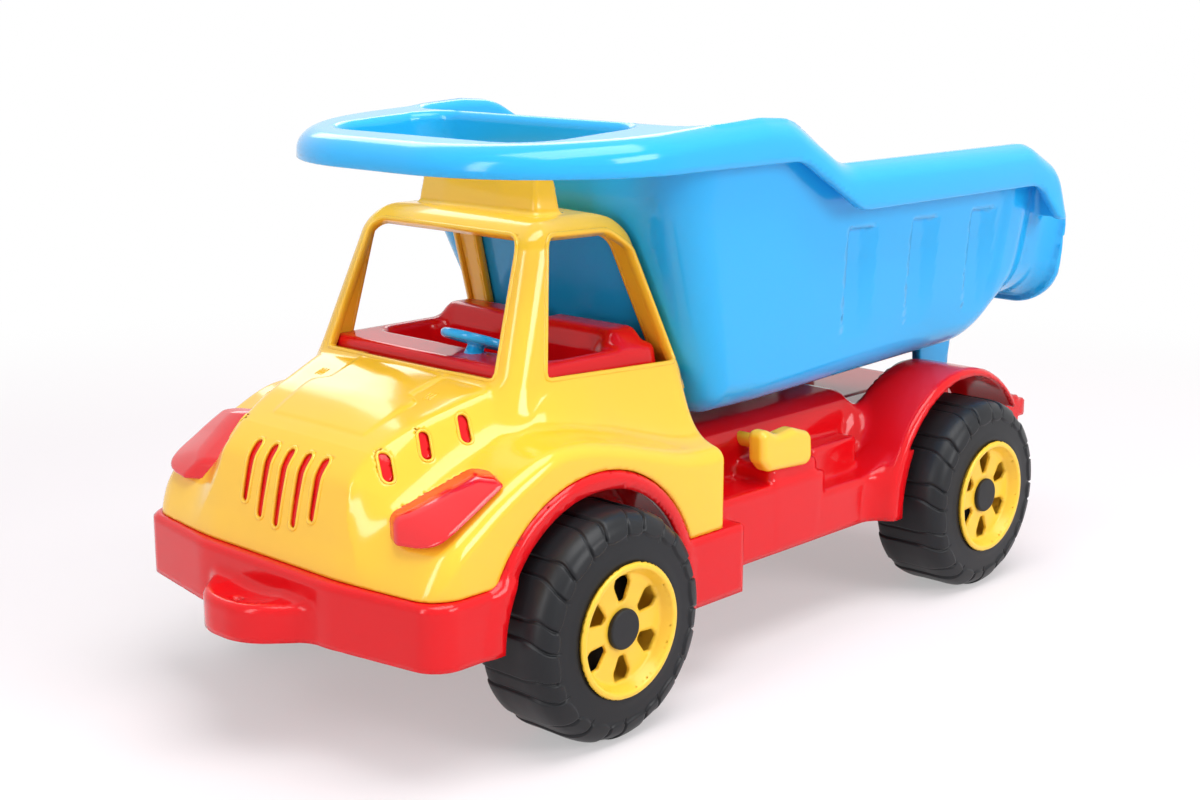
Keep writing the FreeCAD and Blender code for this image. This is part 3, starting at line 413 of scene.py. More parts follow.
def skin(name, shape, low, high, step, material):
    """Piece whose surface is where shape(x, y, z) is zero, with its edges kept sharp."""
    axes = [np.arange(a - 2 * step, b + 3 * step, step) for a, b in zip(low, high)]
    origin = np.array([a[0] for a in axes])
    x, y, z = np.meshgrid(*axes, indexing="ij", sparse=True)
    field = np.broadcast_to(shape(x, y, z), tuple(len(a) for a in axes)).astype(np.float32)
    inside = field < 0
    cells = tuple(n - 1 for n in field.shape)
    count = np.zeros(cells, np.int8)
    for corner in np.ndindex(2, 2, 2):
        count += inside[tuple(slice(c, c + n) for c, n in zip(corner, cells))]
    active = np.argwhere((count > 0) & (count < 8))
    number = np.full(cells, -1, np.int64)
    number[tuple(active.T)] = np.arange(len(active))
    nudge = step * nudge_share

    def slope(p):
        """The shape's gradient at points."""
        parts = []
        for axis in range(3):
            shift = np.zeros(3)
            shift[axis] = nudge
            parts.append(shape(*(p + shift).T) - shape(*(p - shift).T))
        return np.stack(parts, 1) / (2 * nudge)

    # Each grid edge that the surface crosses gives a quad, and a plane to each of its four cells.
    faces = []
    planes = np.zeros((16, len(active)))
    for axis in range(3):
        others = [a for a in range(3) if a != axis]
        near = field[tuple(slice(0, -1) if a == axis else slice(1, -1) for a in range(3))]
        far = field[tuple(slice(1, None) if a == axis else slice(1, -1) for a in range(3))]
        cut = (near < 0) != (far < 0)
        place = np.argwhere(cut)
        value_a, value_b = near[cut].astype(float), far[cut].astype(float)
        place[:, others] += 1
        share_a, share_b = np.zeros(len(place)), np.ones(len(place))
        crossing = origin + place * step
        base = crossing[:, axis].copy()
        for i in range(crossing_rounds):
            share = share_a + (share_b - share_a) * value_a / (value_a - value_b)
            crossing[:, axis] = base + share * step
            value = shape(*crossing.T)
            like_a = (value < 0) == (value_a < 0)
            share_a, value_a = np.where(like_a, share, share_a), np.where(like_a, value, value_a)
            share_b, value_b = np.where(like_a, share_b, share), np.where(like_a, value_b, value)
            value_b = np.where(value_b == value_a, value_b + 1e-12, value_b)
        facing = unit(slope(crossing))
        reach = (facing * crossing).sum(1)
        loop = []
        for du, dv in ((-1, -1), (0, -1), (0, 0), (-1, 0)):
            cell = place.copy()
            cell[:, others[0]] += du
            cell[:, others[1]] += dv
            loop.append(number[tuple(cell.T)])
        terms = [facing[:, i] * facing[:, j] for i in range(3) for j in range(i, 3)]
        terms += [facing[:, i] * reach for i in range(3)]
        terms += [crossing[:, i] for i in range(3)] + [facing[:, i] for i in range(3)]
        terms.append(np.ones(len(place)))
        for owner in loop:
            for k, term in enumerate(terms):
                planes[k] += np.bincount(owner, term, len(active))
        quad = np.stack(loop, 1)
        forward = (near[cut] < 0) if axis != 1 else (near[cut] >= 0)
        faces.append(np.where(forward[:, None], quad, quad[:, ::-1]))
    faces = np.concatenate(faces)

    # A cell's point is where its planes meet, held inside the cell. Its normal is the shape's own
    # where the cell is smooth and the mean of its planes' where an edge runs through.
    square = planes[[0, 1, 2, 1, 3, 4, 2, 4, 5]].T.reshape(-1, 3, 3)
    middle = (planes[9:12] / planes[15]).T
    facing = planes[12:15].T
    rest = planes[6:9].T - np.einsum("nij,nj->ni", square, middle)
    points = middle + np.linalg.solve(square + hold * np.eye(3), rest[:, :, None])[:, :, 0]
    corner = origin + active * step
    points = np.clip(points, corner, corner + step)
    spread = np.linalg.norm(facing, axis=1) / planes[15]
    sharp = np.clip((agree_limit - spread) / agree_width, 0, 1)[:, None]
    for i in range(move_rounds):
        gradient = slope(points)
        square = np.maximum((gradient * gradient).sum(1), least_slope)
        move = (shape(*points.T) / square)[:, None] * gradient
        length = np.linalg.norm(move, axis=1)[:, None]
        points -= (1 - sharp) * move * np.minimum(1, step * move_share / np.maximum(length, 1e-9))
    normals = unit(unit(slope(points)) * (1 - sharp) + unit(facing) * sharp)
    mesh = bpy.data.meshes.new(name)
    mesh.vertices.add(len(points))
    mesh.vertices.foreach_set("co", points.astype(np.float32).ravel())
    mesh.loops.add(faces.size)
    mesh.loops.foreach_set("vertex_index", faces.astype(np.int32).ravel())
    mesh.polygons.add(len(faces))
    mesh.polygons.foreach_set("loop_start", np.arange(0, faces.size, 4, dtype=np.int32))
    mesh.update(calc_edges=True)
    mesh.validate()
    mesh.polygons.foreach_set("use_smooth", np.ones(len(mesh.polygons), bool))
    mesh.normals_split_custom_set_from_vertices(normals.astype(np.float32))
    return new_piece(name, mesh, material)


cab_wall = 0.0042
cab_edge = 0.0003
cab_step = 0.0015
cab_rear = 0.098
cab_side = 0.110
cab_front = 0.113
belt_z = 0.167
belt_half = 0.076
roof_z = 0.244
roof_half = 0.064
roof_front = -0.006
roof_rear = -0.069
cowl_ahead = 0.021
cowl_z = 0.171
roof_crown = 0.4
# Stations along the hood, from the cab's back to the nose: distance ahead of the axle, height in
# the middle, then the top edge, the valley beside the lamps, the fender's crest and its side.
hood_places = (-0.100, -0.075, -0.045, -0.018, 0.008, 0.025, 0.050, 0.072, 0.095, 0.114)
middle_heights = (0.166, 0.167, 0.1675, 0.168, 0.1712, 0.1690, 0.1615, 0.1545, 0.1475, 0.142)
edge_sides = (0.077, 0.077, 0.077, 0.077, 0.0725, 0.0655, 0.0592, 0.0548, 0.0500, 0.0480)
edge_heights = (0.165, 0.166, 0.1665, 0.167, 0.1692, 0.1670, 0.1598, 0.1530, 0.1462, 0.1415)
valley_sides = (0.0825, 0.0825, 0.0825, 0.0825, 0.0800, 0.0760, 0.0715, 0.0680, 0.0650, 0.0640)
valley_heights = (0.143, 0.1445, 0.148, 0.1525, 0.1500, 0.1465, 0.1375, 0.1265, 0.1120, 0.0870)
crest_sides = (0.088, 0.088, 0.088, 0.088, 0.090, 0.092, 0.092, 0.091, 0.090, 0.090)
crest_heights = (0.121, 0.123, 0.130, 0.138, 0.1440, 0.1445, 0.1370, 0.1260, 0.1090, 0.0810)
fender_heights = (0.121, 0.122, 0.130, 0.138, 0.1440, 0.1445, 0.1350, 0.1220, 0.1040, 0.0760)
middle_soft = 0.004
kinks = (0.0028, 0.007, 0.009)
# The hood's raised panel: its height, its half width as a share of the hood's, which narrows
# ahead of a place, its front end and the softness of its edges.
panel_rise = 0.0009
panel_share, panel_narrower = 0.66, 0.16
panel_narrow_ahead, panel_narrow_soft = 0.048, 0.002
panel_front, panel_edge = 0.079, 0.0011


def soft_below(value, limit, width):
    """One below a limit and zero above it, with a soft change."""
    return 0.5 - 0.5 * np.tanh((value - limit) / width)


def hood_top(x, y):
    """Height of the hood and fenders."""
    side = np.sqrt(y * y + middle_soft ** 2)
    middle, edge_height, valley_height, crest_height, fender_height = [
        along(x, hood_places, heights) for heights in
        (middle_heights, edge_heights, valley_heights, crest_heights, fender_heights)]
    edge, valley, crest = [along(x, hood_places, places)
                           for places in (edge_sides, valley_sides, crest_sides)]
    slopes = [(edge_height - middle) / edge, (valley_height - edge_height) / (valley - edge),
              (crest_height - valley_height) / (crest - valley),
              (fender_height - crest_height) / (cab_side - crest)]
    height = middle + slopes[0] * side
    for place, kink, before, after in zip((edge, valley, crest), kinks, slopes, slopes[1:]):
        height = height + (after - before) * soft_ramp(side - place, kink)
    panel_side = edge * (panel_share - panel_narrower * soft_below(x, panel_narrow_ahead, panel_narrow_soft))
    raised = soft_below(side, panel_side, panel_edge) * soft_below(x, panel_front, panel_edge)
    return height + panel_rise * raised


def under_height(x, y, z, height):
    """Distance to a surface given by its height over x and y."""
    reach = 0.0006
    here = height(x, y)
    rise_x = (height(x + reach, y) - height(x - reach, y)) / (2 * reach)
    rise_y = (height(x, y + reach) - height(x, y - reach)) / (2 * reach)
    return (z - here) / np.sqrt(1 + rise_x * rise_x + rise_y * rise_y)


def plane(u, v, start, finish):
    """Distance to the line from start to finish, positive on its left."""
    run = Vector(finish) - Vector(start)
    run.normalize()
    return (v - start[1]) * run[0] - (u - start[0]) * run[1]


# The body's outline from above and the side, the roof block's from above, and how far each edge
# of the body and of the house on it is rounded.
cab_plan = mirrored([(cab_front, 0.048, 0.06), (0.102, cab_side, 0.020), (-cab_rear, cab_side, 0.006)])
nose_line = [
    (cab_front, 0.07), (cab_front, 0.088, 0.01), (0.1062, 0.104, 0.02), (0.0990, 0.1320, 0.014),
    (0.0885, 0.1465, 0.006), (0.060, 0.170, 0.02), (0.060, 0.30), (-0.2, 0.30), (-0.2, 0.07)]
block_plan = mirrored([(-0.0225, 0.020, 0.06), (-0.0255, 0.0435, 0.004), (-0.043, 0.046, 0.004)])
block_top, block_foot, block_lean = 0.2645, 0.235, 0.2
hood_edge, nose_edge = 0.007, 0.012
screen_edge, back_edge, roof_edge = 0.011, 0.007, 0.014
house_foot = 0.150
hidden_round = 0.001
cowl_blend, cowl_blend_ahead, cowl_blend_place, cowl_blend_soft = 0.0015, 0.0035, 0.012, 0.003
block_edge, block_blend = 0.0025, 0.0022


def cab_outside(x, y, z):
    """Outside of the whole cab moulding, without its openings."""
    ahead = x - front_axle
    side = np.abs(y)
    top = under_height(ahead, y, z, hood_top)
    body = meet(meet(top, outline(ahead, y, cab_plan), hood_edge), outline(ahead, z, nose_line), nose_edge)
    roof = z - roof_z + roof_crown * y * y
    flanks = plane(side, z, (belt_half, belt_z), (roof_half, roof_z)) * -1
    screen = plane(ahead, z, (cowl_ahead, cowl_z), (roof_front, roof_z)) * -1
    back = plane(ahead, z, (-cab_rear, belt_z), (roof_rear, roof_z))
    house = meet(meet(meet(flanks, screen, screen_edge), back, back_edge), roof, roof_edge)
    house = meet(house, house_foot - z, hidden_round)
    blend = cowl_blend + cowl_blend_ahead / (1 + np.exp(-(ahead - cowl_blend_place) / cowl_blend_soft))
    block = outline(ahead, y, block_plan) + (z - roof_z) * block_lean
    block = meet(meet(block, z - block_top, block_edge), block_foot - z, hidden_round)
    return join(join(body, house, blend), block, block_blend)


side_window_corners = [
    (-0.0012, 0.1700, 0.002), (-0.0935, 0.166, 0.002), (-0.0705, 0.2245, 0.007),
    (-0.056, 0.235, 0.008), (-0.0128, 0.2360, 0.008)]
front_window_corners = mirrored([(0.0620, 0.1709, 0.002), (0.0540, 0.2362, 0.009)], 0)
rear_window_corners = mirrored([(0.060, 0.169, 0.003), (0.050, 0.232, 0.009)], 0)
side_window_from = 0.040
window_split = -0.045

# The lamps' outline is drawn on the upright plane through their two ends.
lamp_start = Vector((0.0947, 0.0713))
lamp_finish = Vector((0.0494, 0.096))
lamp_line = (lamp_finish - lamp_start).normalized()
lamp_corners = [(-0.0004, 0.1108, 0.0012), (0.0010, 0.1207, 0.0055), (0.0400, 0.1373, 0.008),
                (0.0477, 0.1373, 0.002), (0.0500, 0.1345, 0.0010), (0.0128, 0.1117, 0.030)]
lamp_overlap = 0.0010
lamps_from = 0.02


def lamp_run(x, y):
    """Distance along a headlamp from its front end."""
    return (x - front_axle - lamp_start[0]) * lamp_line[0] + (np.abs(y) - lamp_start[1]) * lamp_line[1]


slot_places = (-2, -1, 0, 1, 2)
slot_pitch = 0.0128
slot_bottoms = {0: 0.1037, 1: 0.1056, 2: 0.1110}
slot_top = 0.1398
slot_top_half, slot_bottom_half = 0.0030, 0.0022
slots_from = 0.070
# The ends of slots and louvres are round: their corners have this share of the half width.
slot_end_share = 0.9


def slot_corners(place):
    """Outline of one of the five upright slots in the nose, counted from the middle."""
    middle = place * slot_pitch
    bottom = slot_bottoms[abs(place)]
    return [(middle + sign * half, height, half * slot_end_share) for sign, half, height in (
        (1, slot_bottom_half, bottom), (1, slot_top_half, slot_top), (-1, slot_top_half, slot_top),
        (-1, slot_bottom_half, bottom))]


louvre_spots = ((0.0828, 0.0565, 0.1452), (0.0632, 0.0605, 0.1528), (0.0432, 0.0645, 0.1583))
louvre_height = 0.0122
louvre_half = 0.0026
louvre_lean = 0.0020
louvre_reach = 0.0075
louvre_turn = math.radians(10)
louvre_ahead = Vector((math.cos(louvre_turn), -math.sin(louvre_turn), 0))
louvre_out = Vector((math.sin(louvre_turn), math.cos(louvre_turn), 0))
louvre_corners = [(u, v, louvre_half * slot_end_share) for u, v in (
    (louvre_half, 0), (louvre_lean + louvre_half, -louvre_height),
    (louvre_lean - louvre_half, -louvre_height), (-louvre_half, 0))]


def slots(ahead, y, z):
    """Distance to the nearest of the nose's slots and the three louvres in each side of the hood."""
    found = [overlap(outline(y, z, slot_corners(place)), slots_from - ahead) for place in slot_places]
    for distance, side, top in louvre_spots:
        run = (ahead - distance) * louvre_ahead.x + (np.abs(y) - side) * louvre_ahead.y
        across = (ahead - distance) * louvre_out.x + (np.abs(y) - side) * louvre_out.y
        found.append(overlap(outline(run, z - top, louvre_corners), np.abs(across) - louvre_reach))
    return union(*found)


# The openings are cut a little wider than their outlines, and the lips cover that edge.
hidden_edge = 0.0004
arch_radius, arch_inner_side = 0.0735, 0.072
# The cab's foot: ahead of the wheel, behind it, and inside the wheels.
foot_ahead, foot_behind, foot_inside = 0.0894, 0.0824, 0.1214
foot_inner_side, foot_inner_front = 0.0722, 0.05


def cab_shape(x, y, z):
    """The cab moulding: a wall of even thickness with its openings."""
    ahead = x - front_axle
    side = np.abs(y)
    out = cab_outside(x, y, z)
    doors = overlap(outline(ahead, z, side_window_corners), side_window_from - side)
    windshield = overlap(outline(y, z, front_window_corners), window_split - ahead)
    rear_window = overlap(outline(y, z, rear_window_corners), ahead - window_split)
    lipped = union(doors, windshield, rear_window, slots(ahead, y, z)) - hidden_edge
    lamp_hole = overlap(outline(lamp_run(x, y), z, lamp_corners) + lamp_overlap, lamps_from - ahead)
    arch = overlap(from_centre(ahead, z - tyre_radius) - arch_radius, arch_inner_side - side)
    foot = np.where(ahead > 0, foot_ahead, foot_behind)
    foot = np.where((side < foot_inner_side) & (ahead < foot_inner_front), foot_inside, foot)
    openings = union(lipped, lamp_hole, arch, z - foot)
    return meet(meet(out, -(out + cab_wall), cab_edge), -openings, cab_edge)


cab_low, cab_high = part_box("cab_shell")
cab = skin("cab_skin", cab_shape, cab_low, cab_high, cab_step, yellow_plastic)
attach(cab, "truck")
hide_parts("cab_shell")

# Vent marks: three short ribs on each side of the hood below the windshield, moulded with it.
mark_ahead, mark_side, mark_pitch = 0.0425, 0.0410, 0.0021
mark_length, mark_width, mark_rise = 0.0072, 0.0009, 0.0005
for side, sign in sides.items():
    for i in (-1, 0, 1):
        across = (mark_side + i * mark_pitch) * sign
        ends = [Vector((place, across, float(hood_top(np.array(place), np.array(across)))))
                for place in (mark_ahead - mark_length / 2, mark_ahead + mark_length / 2)]
        bpy.ops.mesh.primitive_uv_sphere_add(segments=16, ring_count=8, radius=0.5)
        mark = bpy.context.object
        mark.name = f"vent_mark_{side}_{i + 2}"
        mark.scale = (mark_length, mark_width, mark_rise * 2)
        mark.rotation_euler = (0, -math.atan((ends[1].z - ends[0].z) / mark_length), 0)
        mark.location = (ends[0] + ends[1]) / 2 + Vector((front_axle, 0, 0))
        bpy.ops.object.shade_smooth()
        mark.data.materials.append(yellow_plastic)
        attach(mark, "truck")


# Rolled lips: the windows, slots and louvres each have a rounded edge of the same moulding,
# swept round the opening on the cab's outside and turned in through the wall.
lip_depth, slot_lip_depth = 0.0042, 0.0011
# Each kind of lip: the spacing of its points, its width, its rise and its depth.
door_lip = (0.0022, 0.0022, 0.0009, lip_depth)
screen_lip = (0.0022, 0.0018, 0.0007, lip_depth)
slot_lip = (0.0009, 0.0016, 0.0006, slot_lip_depth)
louvre_lip = (0.0008, 0.0012, 0.0005, slot_lip_depth)
# Where the points start before they slide onto the cab.
door_start, windshield_start, rear_window_start, slot_start = 0.070, 0.010, -0.088, 0.098
# How the points find an outline and the surface: nudges for slopes, least slopes and rounds.
loop_nudge, loop_least, loop_rounds, fewest_points = 0.00002, 0.3, 6, 24
slide_nudge, slide_least, slide_rounds, longest_slide = 0.00005, 0.25, 12, 0.004


def opening_loop(corners, spacing):
    """Evenly spaced points along an outline of (u, v, radius) corners."""
    ends = np.array([corner[:2] for corner in corners], float)
    points = []
    for start, finish in zip(ends, np.roll(ends, -1, 0)):
        count = max(2, int(np.linalg.norm(finish - start) / spacing))
        points.append(start + (finish - start) * np.linspace(0, 1, count, endpoint=False)[:, None])
    points = np.concatenate(points)
    for i in range(loop_rounds):
        here, after_u, after_v = [outline(points[:, 0] + du, points[:, 1] + dv, corners)
                                  for du, dv in ((0, 0), (loop_nudge, 0), (0, loop_nudge))]
        slope = np.stack([after_u - here, after_v - here], 1) / loop_nudge
        points = points - here[:, None] * slope / np.maximum((slope * slope).sum(1), loop_least)[:, None]
    closed = np.vstack([points, points[:1]])
    run = np.concatenate([[0], np.cumsum(np.linalg.norm(np.diff(closed, axis=0), axis=1))])
    even = np.linspace(0, run[-1], max(fewest_points, int(run[-1] / spacing)), endpoint=False)
    return np.interp(even, run, closed[:, 0]), np.interp(even, run, closed[:, 1])


def on_surface(points, shape, direction):
    """Points slid along a direction until they lie on the shape's surface."""
    nudge = np.array(direction, float) * slide_nudge
    for i in range(slide_rounds):
        rate = (shape(*(points + nudge).T) - shape(*(points - nudge).T)) / (2 * slide_nudge)
        rate = np.where(np.abs(rate) < slide_least, slide_least, rate)
        slide = np.clip(shape(*points.T) / rate, -longest_slide, longest_slide)
        points = points - slide[:, None] * direction
    gradient = np.stack([shape(*(points + step).T) - shape(*(points - step).T)
                         for step in np.eye(3) * slide_nudge], 1)
    return points, unit(gradient)


def soften_loop(values, rounds):
    """Vectors round a closed loop, evened out between neighbours."""
    for i in range(rounds):
        values = (np.roll(values, 1, 0) + values * 2 + np.roll(values, -1, 0)) / 4
    return unit(values)


def ring_mesh(name, places, closed=True, flipped=False):
    """Mesh of rings of points, each joined to the next, and the last to the first where closed."""
    numbers = np.arange(places[..., 0].size).reshape(places.shape[:2])
    below, after = np.roll(numbers, -1, 0), np.roll(numbers, -1, 1)
    quads = np.stack([numbers, after, np.roll(below, -1, 1), below], -1)
    if not closed:
        quads = quads[:-1]
    quads = quads.reshape(-1, 4)
    if flipped:
        quads = quads[:, ::-1]
    mesh = bpy.data.meshes.new(name)
    mesh.from_pydata(places.reshape(-1, 3).tolist(), [], quads.tolist())
    return mesh


# A lip's section over the cab's surface as shares of its width and rise. Its edge in the opening
# stands in by small lengths.
crown_shares = ((-0.92, 0.35), (-0.7, 0.85), (-0.42, 1), (-0.15, 0.9))
turn_share, inner_share, foot_share = 0.55, 0.1, 0.8
lip_sunk, lip_turn, lip_in = 0.0004, 0.0001, 0.0003
normal_rounds, into_rounds = 2, 1


def lip(name, corners, kind, place, direction):
    """Rounded edge of a kind swept round an outline, which place(u, v) puts beside the cab."""
    spacing, width, rise, depth = kind
    points = np.stack(np.broadcast_arrays(*place(*opening_loop(corners, spacing))), 1)
    points, normal = on_surface(points, cab_outside, np.array(direction))
    normal = soften_loop(normal, normal_rounds)
    tangent = unit(np.roll(points, -1, 0) - np.roll(points, 1, 0))
    into = np.cross(normal, tangent)
    if ((points.mean(0) - points) * into).sum() < 0:
        into = -into
    into = soften_loop(into, into_rounds)
    section = [(-width, -lip_sunk)] + [(width * u, rise * v) for u, v in crown_shares]
    section += [(lip_turn, rise * turn_share), (lip_in, -rise * inner_share), (lip_in, -depth),
                (-width * foot_share, -depth)]
    mesh = ring_mesh(name, np.stack([points + into * u + normal * v for u, v in section]))
    mesh.shade_smooth()
    work = bmesh.new()
    work.from_mesh(mesh)
    bmesh.ops.recalc_face_normals(work, faces=work.faces)
    work.to_mesh(mesh)
    work.free()
    piece = new_piece(name, mesh, yellow_plastic)
    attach(piece, "truck")


for side, sign in sides.items():
    lip(f"side_window_lip_{side}", side_window_corners, door_lip,
        lambda u, v: (u + front_axle, door_start * sign, v), (0, sign, 0))
    for i, (distance, reach, top) in enumerate(louvre_spots):
        lip(f"louvre_lip_{side}_{i + 1}", louvre_corners, louvre_lip,
            lambda u, v: (front_axle + distance + u * louvre_ahead.x, sign * (reach + u * louvre_ahead.y),
                          top + v), (louvre_out.x, sign * louvre_out.y, 0))
facing_lips = [("windshield_lip", front_window_corners, screen_lip, windshield_start),
               ("rear_window_lip", rear_window_corners, screen_lip, rear_window_start)]
facing_lips += [(f"grille_lip_{place + 3}", slot_corners(place), slot_lip, slot_start)
                for place in slot_places]
for name, corners, kind, start in facing_lips:
    lip(name, corners, kind, lambda u, v: (front_axle + start, u, v), (1, 0, 0))


# Headlamps: red caps pushed through the hood from inside. Each stands out along a ridge, with a
# long upper face that falls back to the hood and a short steep face below.
ridge_runs = (-0.004, 0.0015, 0.0165, 0.0325, 0.0500)
ridge_heights = (0.1178, 0.1180, 0.1197, 0.1276, 0.1345)
ridge_proud, ridge_fall = 0.0062, 0.0028
lamp_length = 0.05
rim_proud = 0.0013
upper_reach = 0.016
lower_reach = 0.009
lamp_depth = 0.0035
ridge_edge, lamp_edge, lamp_back_edge = 0.0006, 0.0017, 0.0008
lamp_steepness = 0.9
lamp_step = 0.0008
lamp_room_low = Vector((0.008, 0.008, 0.004))
lamp_room_high = Vector((0.012, 0.008, 0.006))


def lamp_shape(x, y, z):
    """A headlamp: its outline, raised from the cab's outside to the ridge and down on both sides."""
    out = cab_outside(x, y, z)
    run = lamp_run(x, y)
    above = z - along(run, ridge_runs, ridge_heights)
    ridge = ridge_proud - ridge_fall * np.clip(run / lamp_length, 0, 1)
    upper, lower = [(ridge - rim_proud) / reach for reach in (upper_reach, lower_reach)]
    proud = -join(upper * above - ridge, -(ridge + lower * above), ridge_edge)
    cap = meet(outline(run, z, lamp_corners), (out - np.minimum(proud, ridge)) * lamp_steepness, lamp_edge)
    return overlap(meet(cap, -(out + lamp_depth), lamp_back_edge), lamps_from - (x - front_axle))


for side in sides:
    low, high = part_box(f"headlight_{side}")
    lamp = skin(f"lamp_{side}", lamp_shape, low - lamp_room_low, high + lamp_room_high, lamp_step,
                lamp_plastic)
    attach(lamp, "truck")
    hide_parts(f"headlight_{side}")


# Interior: one red moulding behind the windshield, with a broad ledge, an open footwell, a bench
# and two soft backrests whose tops run down into the rim. A red sheet closes the nose's slots.
ledge_z = 0.1752
ledge_front, ledge_back = 0.0146, -0.0125
ledge_edge, well_edge, bench_edge = 0.0035, 0.0042, 0.004
interior_half = 0.0703
interior_rear = -0.0895
interior_foot = 0.1218
interior_lean, well_lean = 0.156, 0.08
interior_step = 0.0021
seat_front, seat_back, seat_top, seat_foot = -0.059, -0.0815, 0.1842, 0.13
rest_half, rest_gap, rest_inset = 0.0655, 0.0065, 0.0006
rest_outer_edge, rest_inner_edge, rest_blend = 0.008, 0.006, 0.007
well_rear, well_half, well_floor, well_top = seat_front + 0.002, 0.062, 0.126, 0.3
interior_plan = mirrored([(ledge_front, interior_half, 0.008), (interior_rear, interior_half, 0.010)])
rest_line = [(seat_front + 0.004, seat_foot), (seat_front, seat_top, 0.007), (seat_back, seat_top, 0.006),
             (seat_back, seat_foot)]
well_plan = mirrored([(ledge_back, well_half, 0.012), (well_rear, well_half, 0.010)])
bench_line = [
    (ledge_back + 0.01, well_floor, 0.004), (-0.047, well_floor, 0.006), (-0.050, 0.1485, 0.006),
    (-0.12, 0.1485), (-0.12, well_top), (ledge_back + 0.01, well_top)]


def interior_shape(x, y, z):
    """The interior moulding: a solid tub with the backrests, less the footwell over the bench."""
    ahead = x - front_axle
    side = np.abs(y)
    plan = outline(ahead, y, interior_plan) + (z - ledge_z) * interior_lean
    tub = meet(meet(plan, z - ledge_z, ledge_edge), interior_foot - z, hidden_round)
    rest = meet(outline(ahead, z, rest_line), side - rest_half, rest_outer_edge)
    rest = overlap(meet(rest, rest_gap - side, rest_inner_edge), plan + rest_inset)
    well = outline(ahead, y, well_plan) - (z - ledge_z) * well_lean
    well = meet(well, outline(ahead, z, bench_line), bench_edge)
    return meet(join(tub, rest, rest_blend), -well, well_edge)


# The sheet lies between two depths below the cab's outside, and its pads rise into the slots.
sheet_top, sheet_back, sheet_step = 0.0050, 0.0085, 0.0017
pad_wider, pad_top, pad_back = 0.0005, 0.0013, 0.0060
nose_sheet_from, nose_sheet_low, nose_sheet_half = 0.086, 0.096, 0.060
side_sheet_from, side_sheet_low, side_sheet_high = 0.030, 0.132, 0.166
side_sheet_inner, side_sheet_outer = 0.046, 0.078


def backing_shape(x, y, z):
    """The red sheet behind the nose and hood, with a pad that fills each slot from inside."""
    out = cab_outside(x, y, z)
    ahead = x - front_axle
    side = np.abs(y)
    sheet = meet(out + sheet_top, -(out + sheet_back), cab_edge)
    front = overlap(nose_sheet_from - ahead, nose_sheet_low - z, side - nose_sheet_half)
    flank = overlap(side_sheet_from - ahead, side_sheet_low - z, z - side_sheet_high,
                    side_sheet_inner - side, side - side_sheet_outer)
    pads = meet(meet(slots(ahead, y, z) - pad_wider, out + pad_top, cab_edge), -(out + pad_back), cab_edge)
    return union(overlap(sheet, union(front, flank)), pads)


for name, shape, step, node in (("interior_skin", interior_shape, interior_step, "cab_interior"),
                                ("backing_skin", backing_shape, sheet_step, "grille_backing")):
    piece = skin(name, shape, cab_low, cab_high, step, red_plastic)
    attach(piece, "truck")
    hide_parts(node)


# Steering wheel: a blue ring on three rounded spokes and a short tapered column, one moulding. It
# turns on the column's axis, in the ledge's left half.
column_tilt = math.radians(20)
wheel_centre = Vector((front_axle - 0.006, 0.022, 0.181))
column_axis = Vector((-math.sin(column_tilt), 0, math.cos(column_tilt)))
column_back = Vector((math.cos(column_tilt), 0, math.sin(column_tilt)))
column_length, column_overrun = 0.0130, 0.0010
ring_radius, ring_thick = 0.0166, 0.0023
boss_radius, boss_half = 0.0056, 0.0024
spoke_radius, spoke_count, spoke_flatness = 0.0019, 3, 1.15
column_top, column_bottom = 0.0036, 0.0062
wheel_blend, column_blend = 0.0012, 0.0015
wheel_step = 0.0010


def wheel_shape(x, y, z):
    """The steering wheel, with its heights taken along the column."""
    x, y, z = x - wheel_centre.x, y - wheel_centre.y, z - wheel_centre.z
    rise = x * column_axis.x + z * column_axis.z
    ahead = x * column_back.x + z * column_back.z
    away = from_centre(ahead, y)
    ring = from_centre(away - ring_radius, rise) - ring_thick
    boss = meet(away - boss_radius, np.abs(rise) - boss_half, wheel_blend)
    width = column_top + (column_bottom - column_top) * np.clip(-rise / column_length, 0, 1)
    column = overlap(away - width, rise, -rise - column_length - column_overrun)
    wheel = join(boss, column, column_blend)
    for i in range(spoke_count):
        turned = 2 * math.pi * i / spoke_count + math.pi / 2
        reached = ahead * math.cos(turned) + y * math.sin(turned)
        off = y * math.cos(turned) - ahead * math.sin(turned)
        spoke = overlap(from_centre(off, rise * spoke_flatness) - spoke_radius, -reached,
                        reached - ring_radius)
        wheel = join(wheel, spoke, wheel_blend)
    return join(wheel, ring, wheel_blend)


wheel_low, wheel_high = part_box("steering_wheel")
wheel_room = Vector((0.002, 0.002, 0.002))
steering = skin("steering_skin", wheel_shape, wheel_low - wheel_room, wheel_high + wheel_room, wheel_step,
                blue_plastic)
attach(steering, "steering")
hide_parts("steering_wheel")


# Chassis: one red moulding, hollow below, with the bumper, the tow lip, the arch bands round the
# wheels, the stepped sill between them and the deck under the bed.
chassis_wall = 0.0049
chassis_edge = 0.0003
chassis_step = 0.0024
chassis_deep = 0.02
bumper_top, bumper_edge, bumper_blend = 0.089, 0.0035, 0.0045
bumper_plan = mirrored([(0.115, 0.048, 0.06), (0.104, 0.113, 0.016), (0.0, 0.113)])
tow_plan = mirrored([(0.139, 0.0165, 0.030), (0.112, 0.040, 0.008), (0.09, 0.040)])
tow_top, tow_edge = 0.0735, 0.0035
tow_dish_rise, tow_dish_ahead, tow_dish_reach, tow_dish_share = 0.0022, 0.122, 0.014, 0.5
tow_hole_ahead, tow_hole_radius, tow_hole_edge = 0.129, 0.003, 0.0008
rear_fender_radius = 0.0745
front_fender_radius = 0.0732
fender_reach, rear_fender_ahead = 0.09, 0.056
fender_edge, fender_inner_edge, fender_inside = 0.0042, 0.002, 0.0046
front_blend, back_blend = 0.006, 0.015
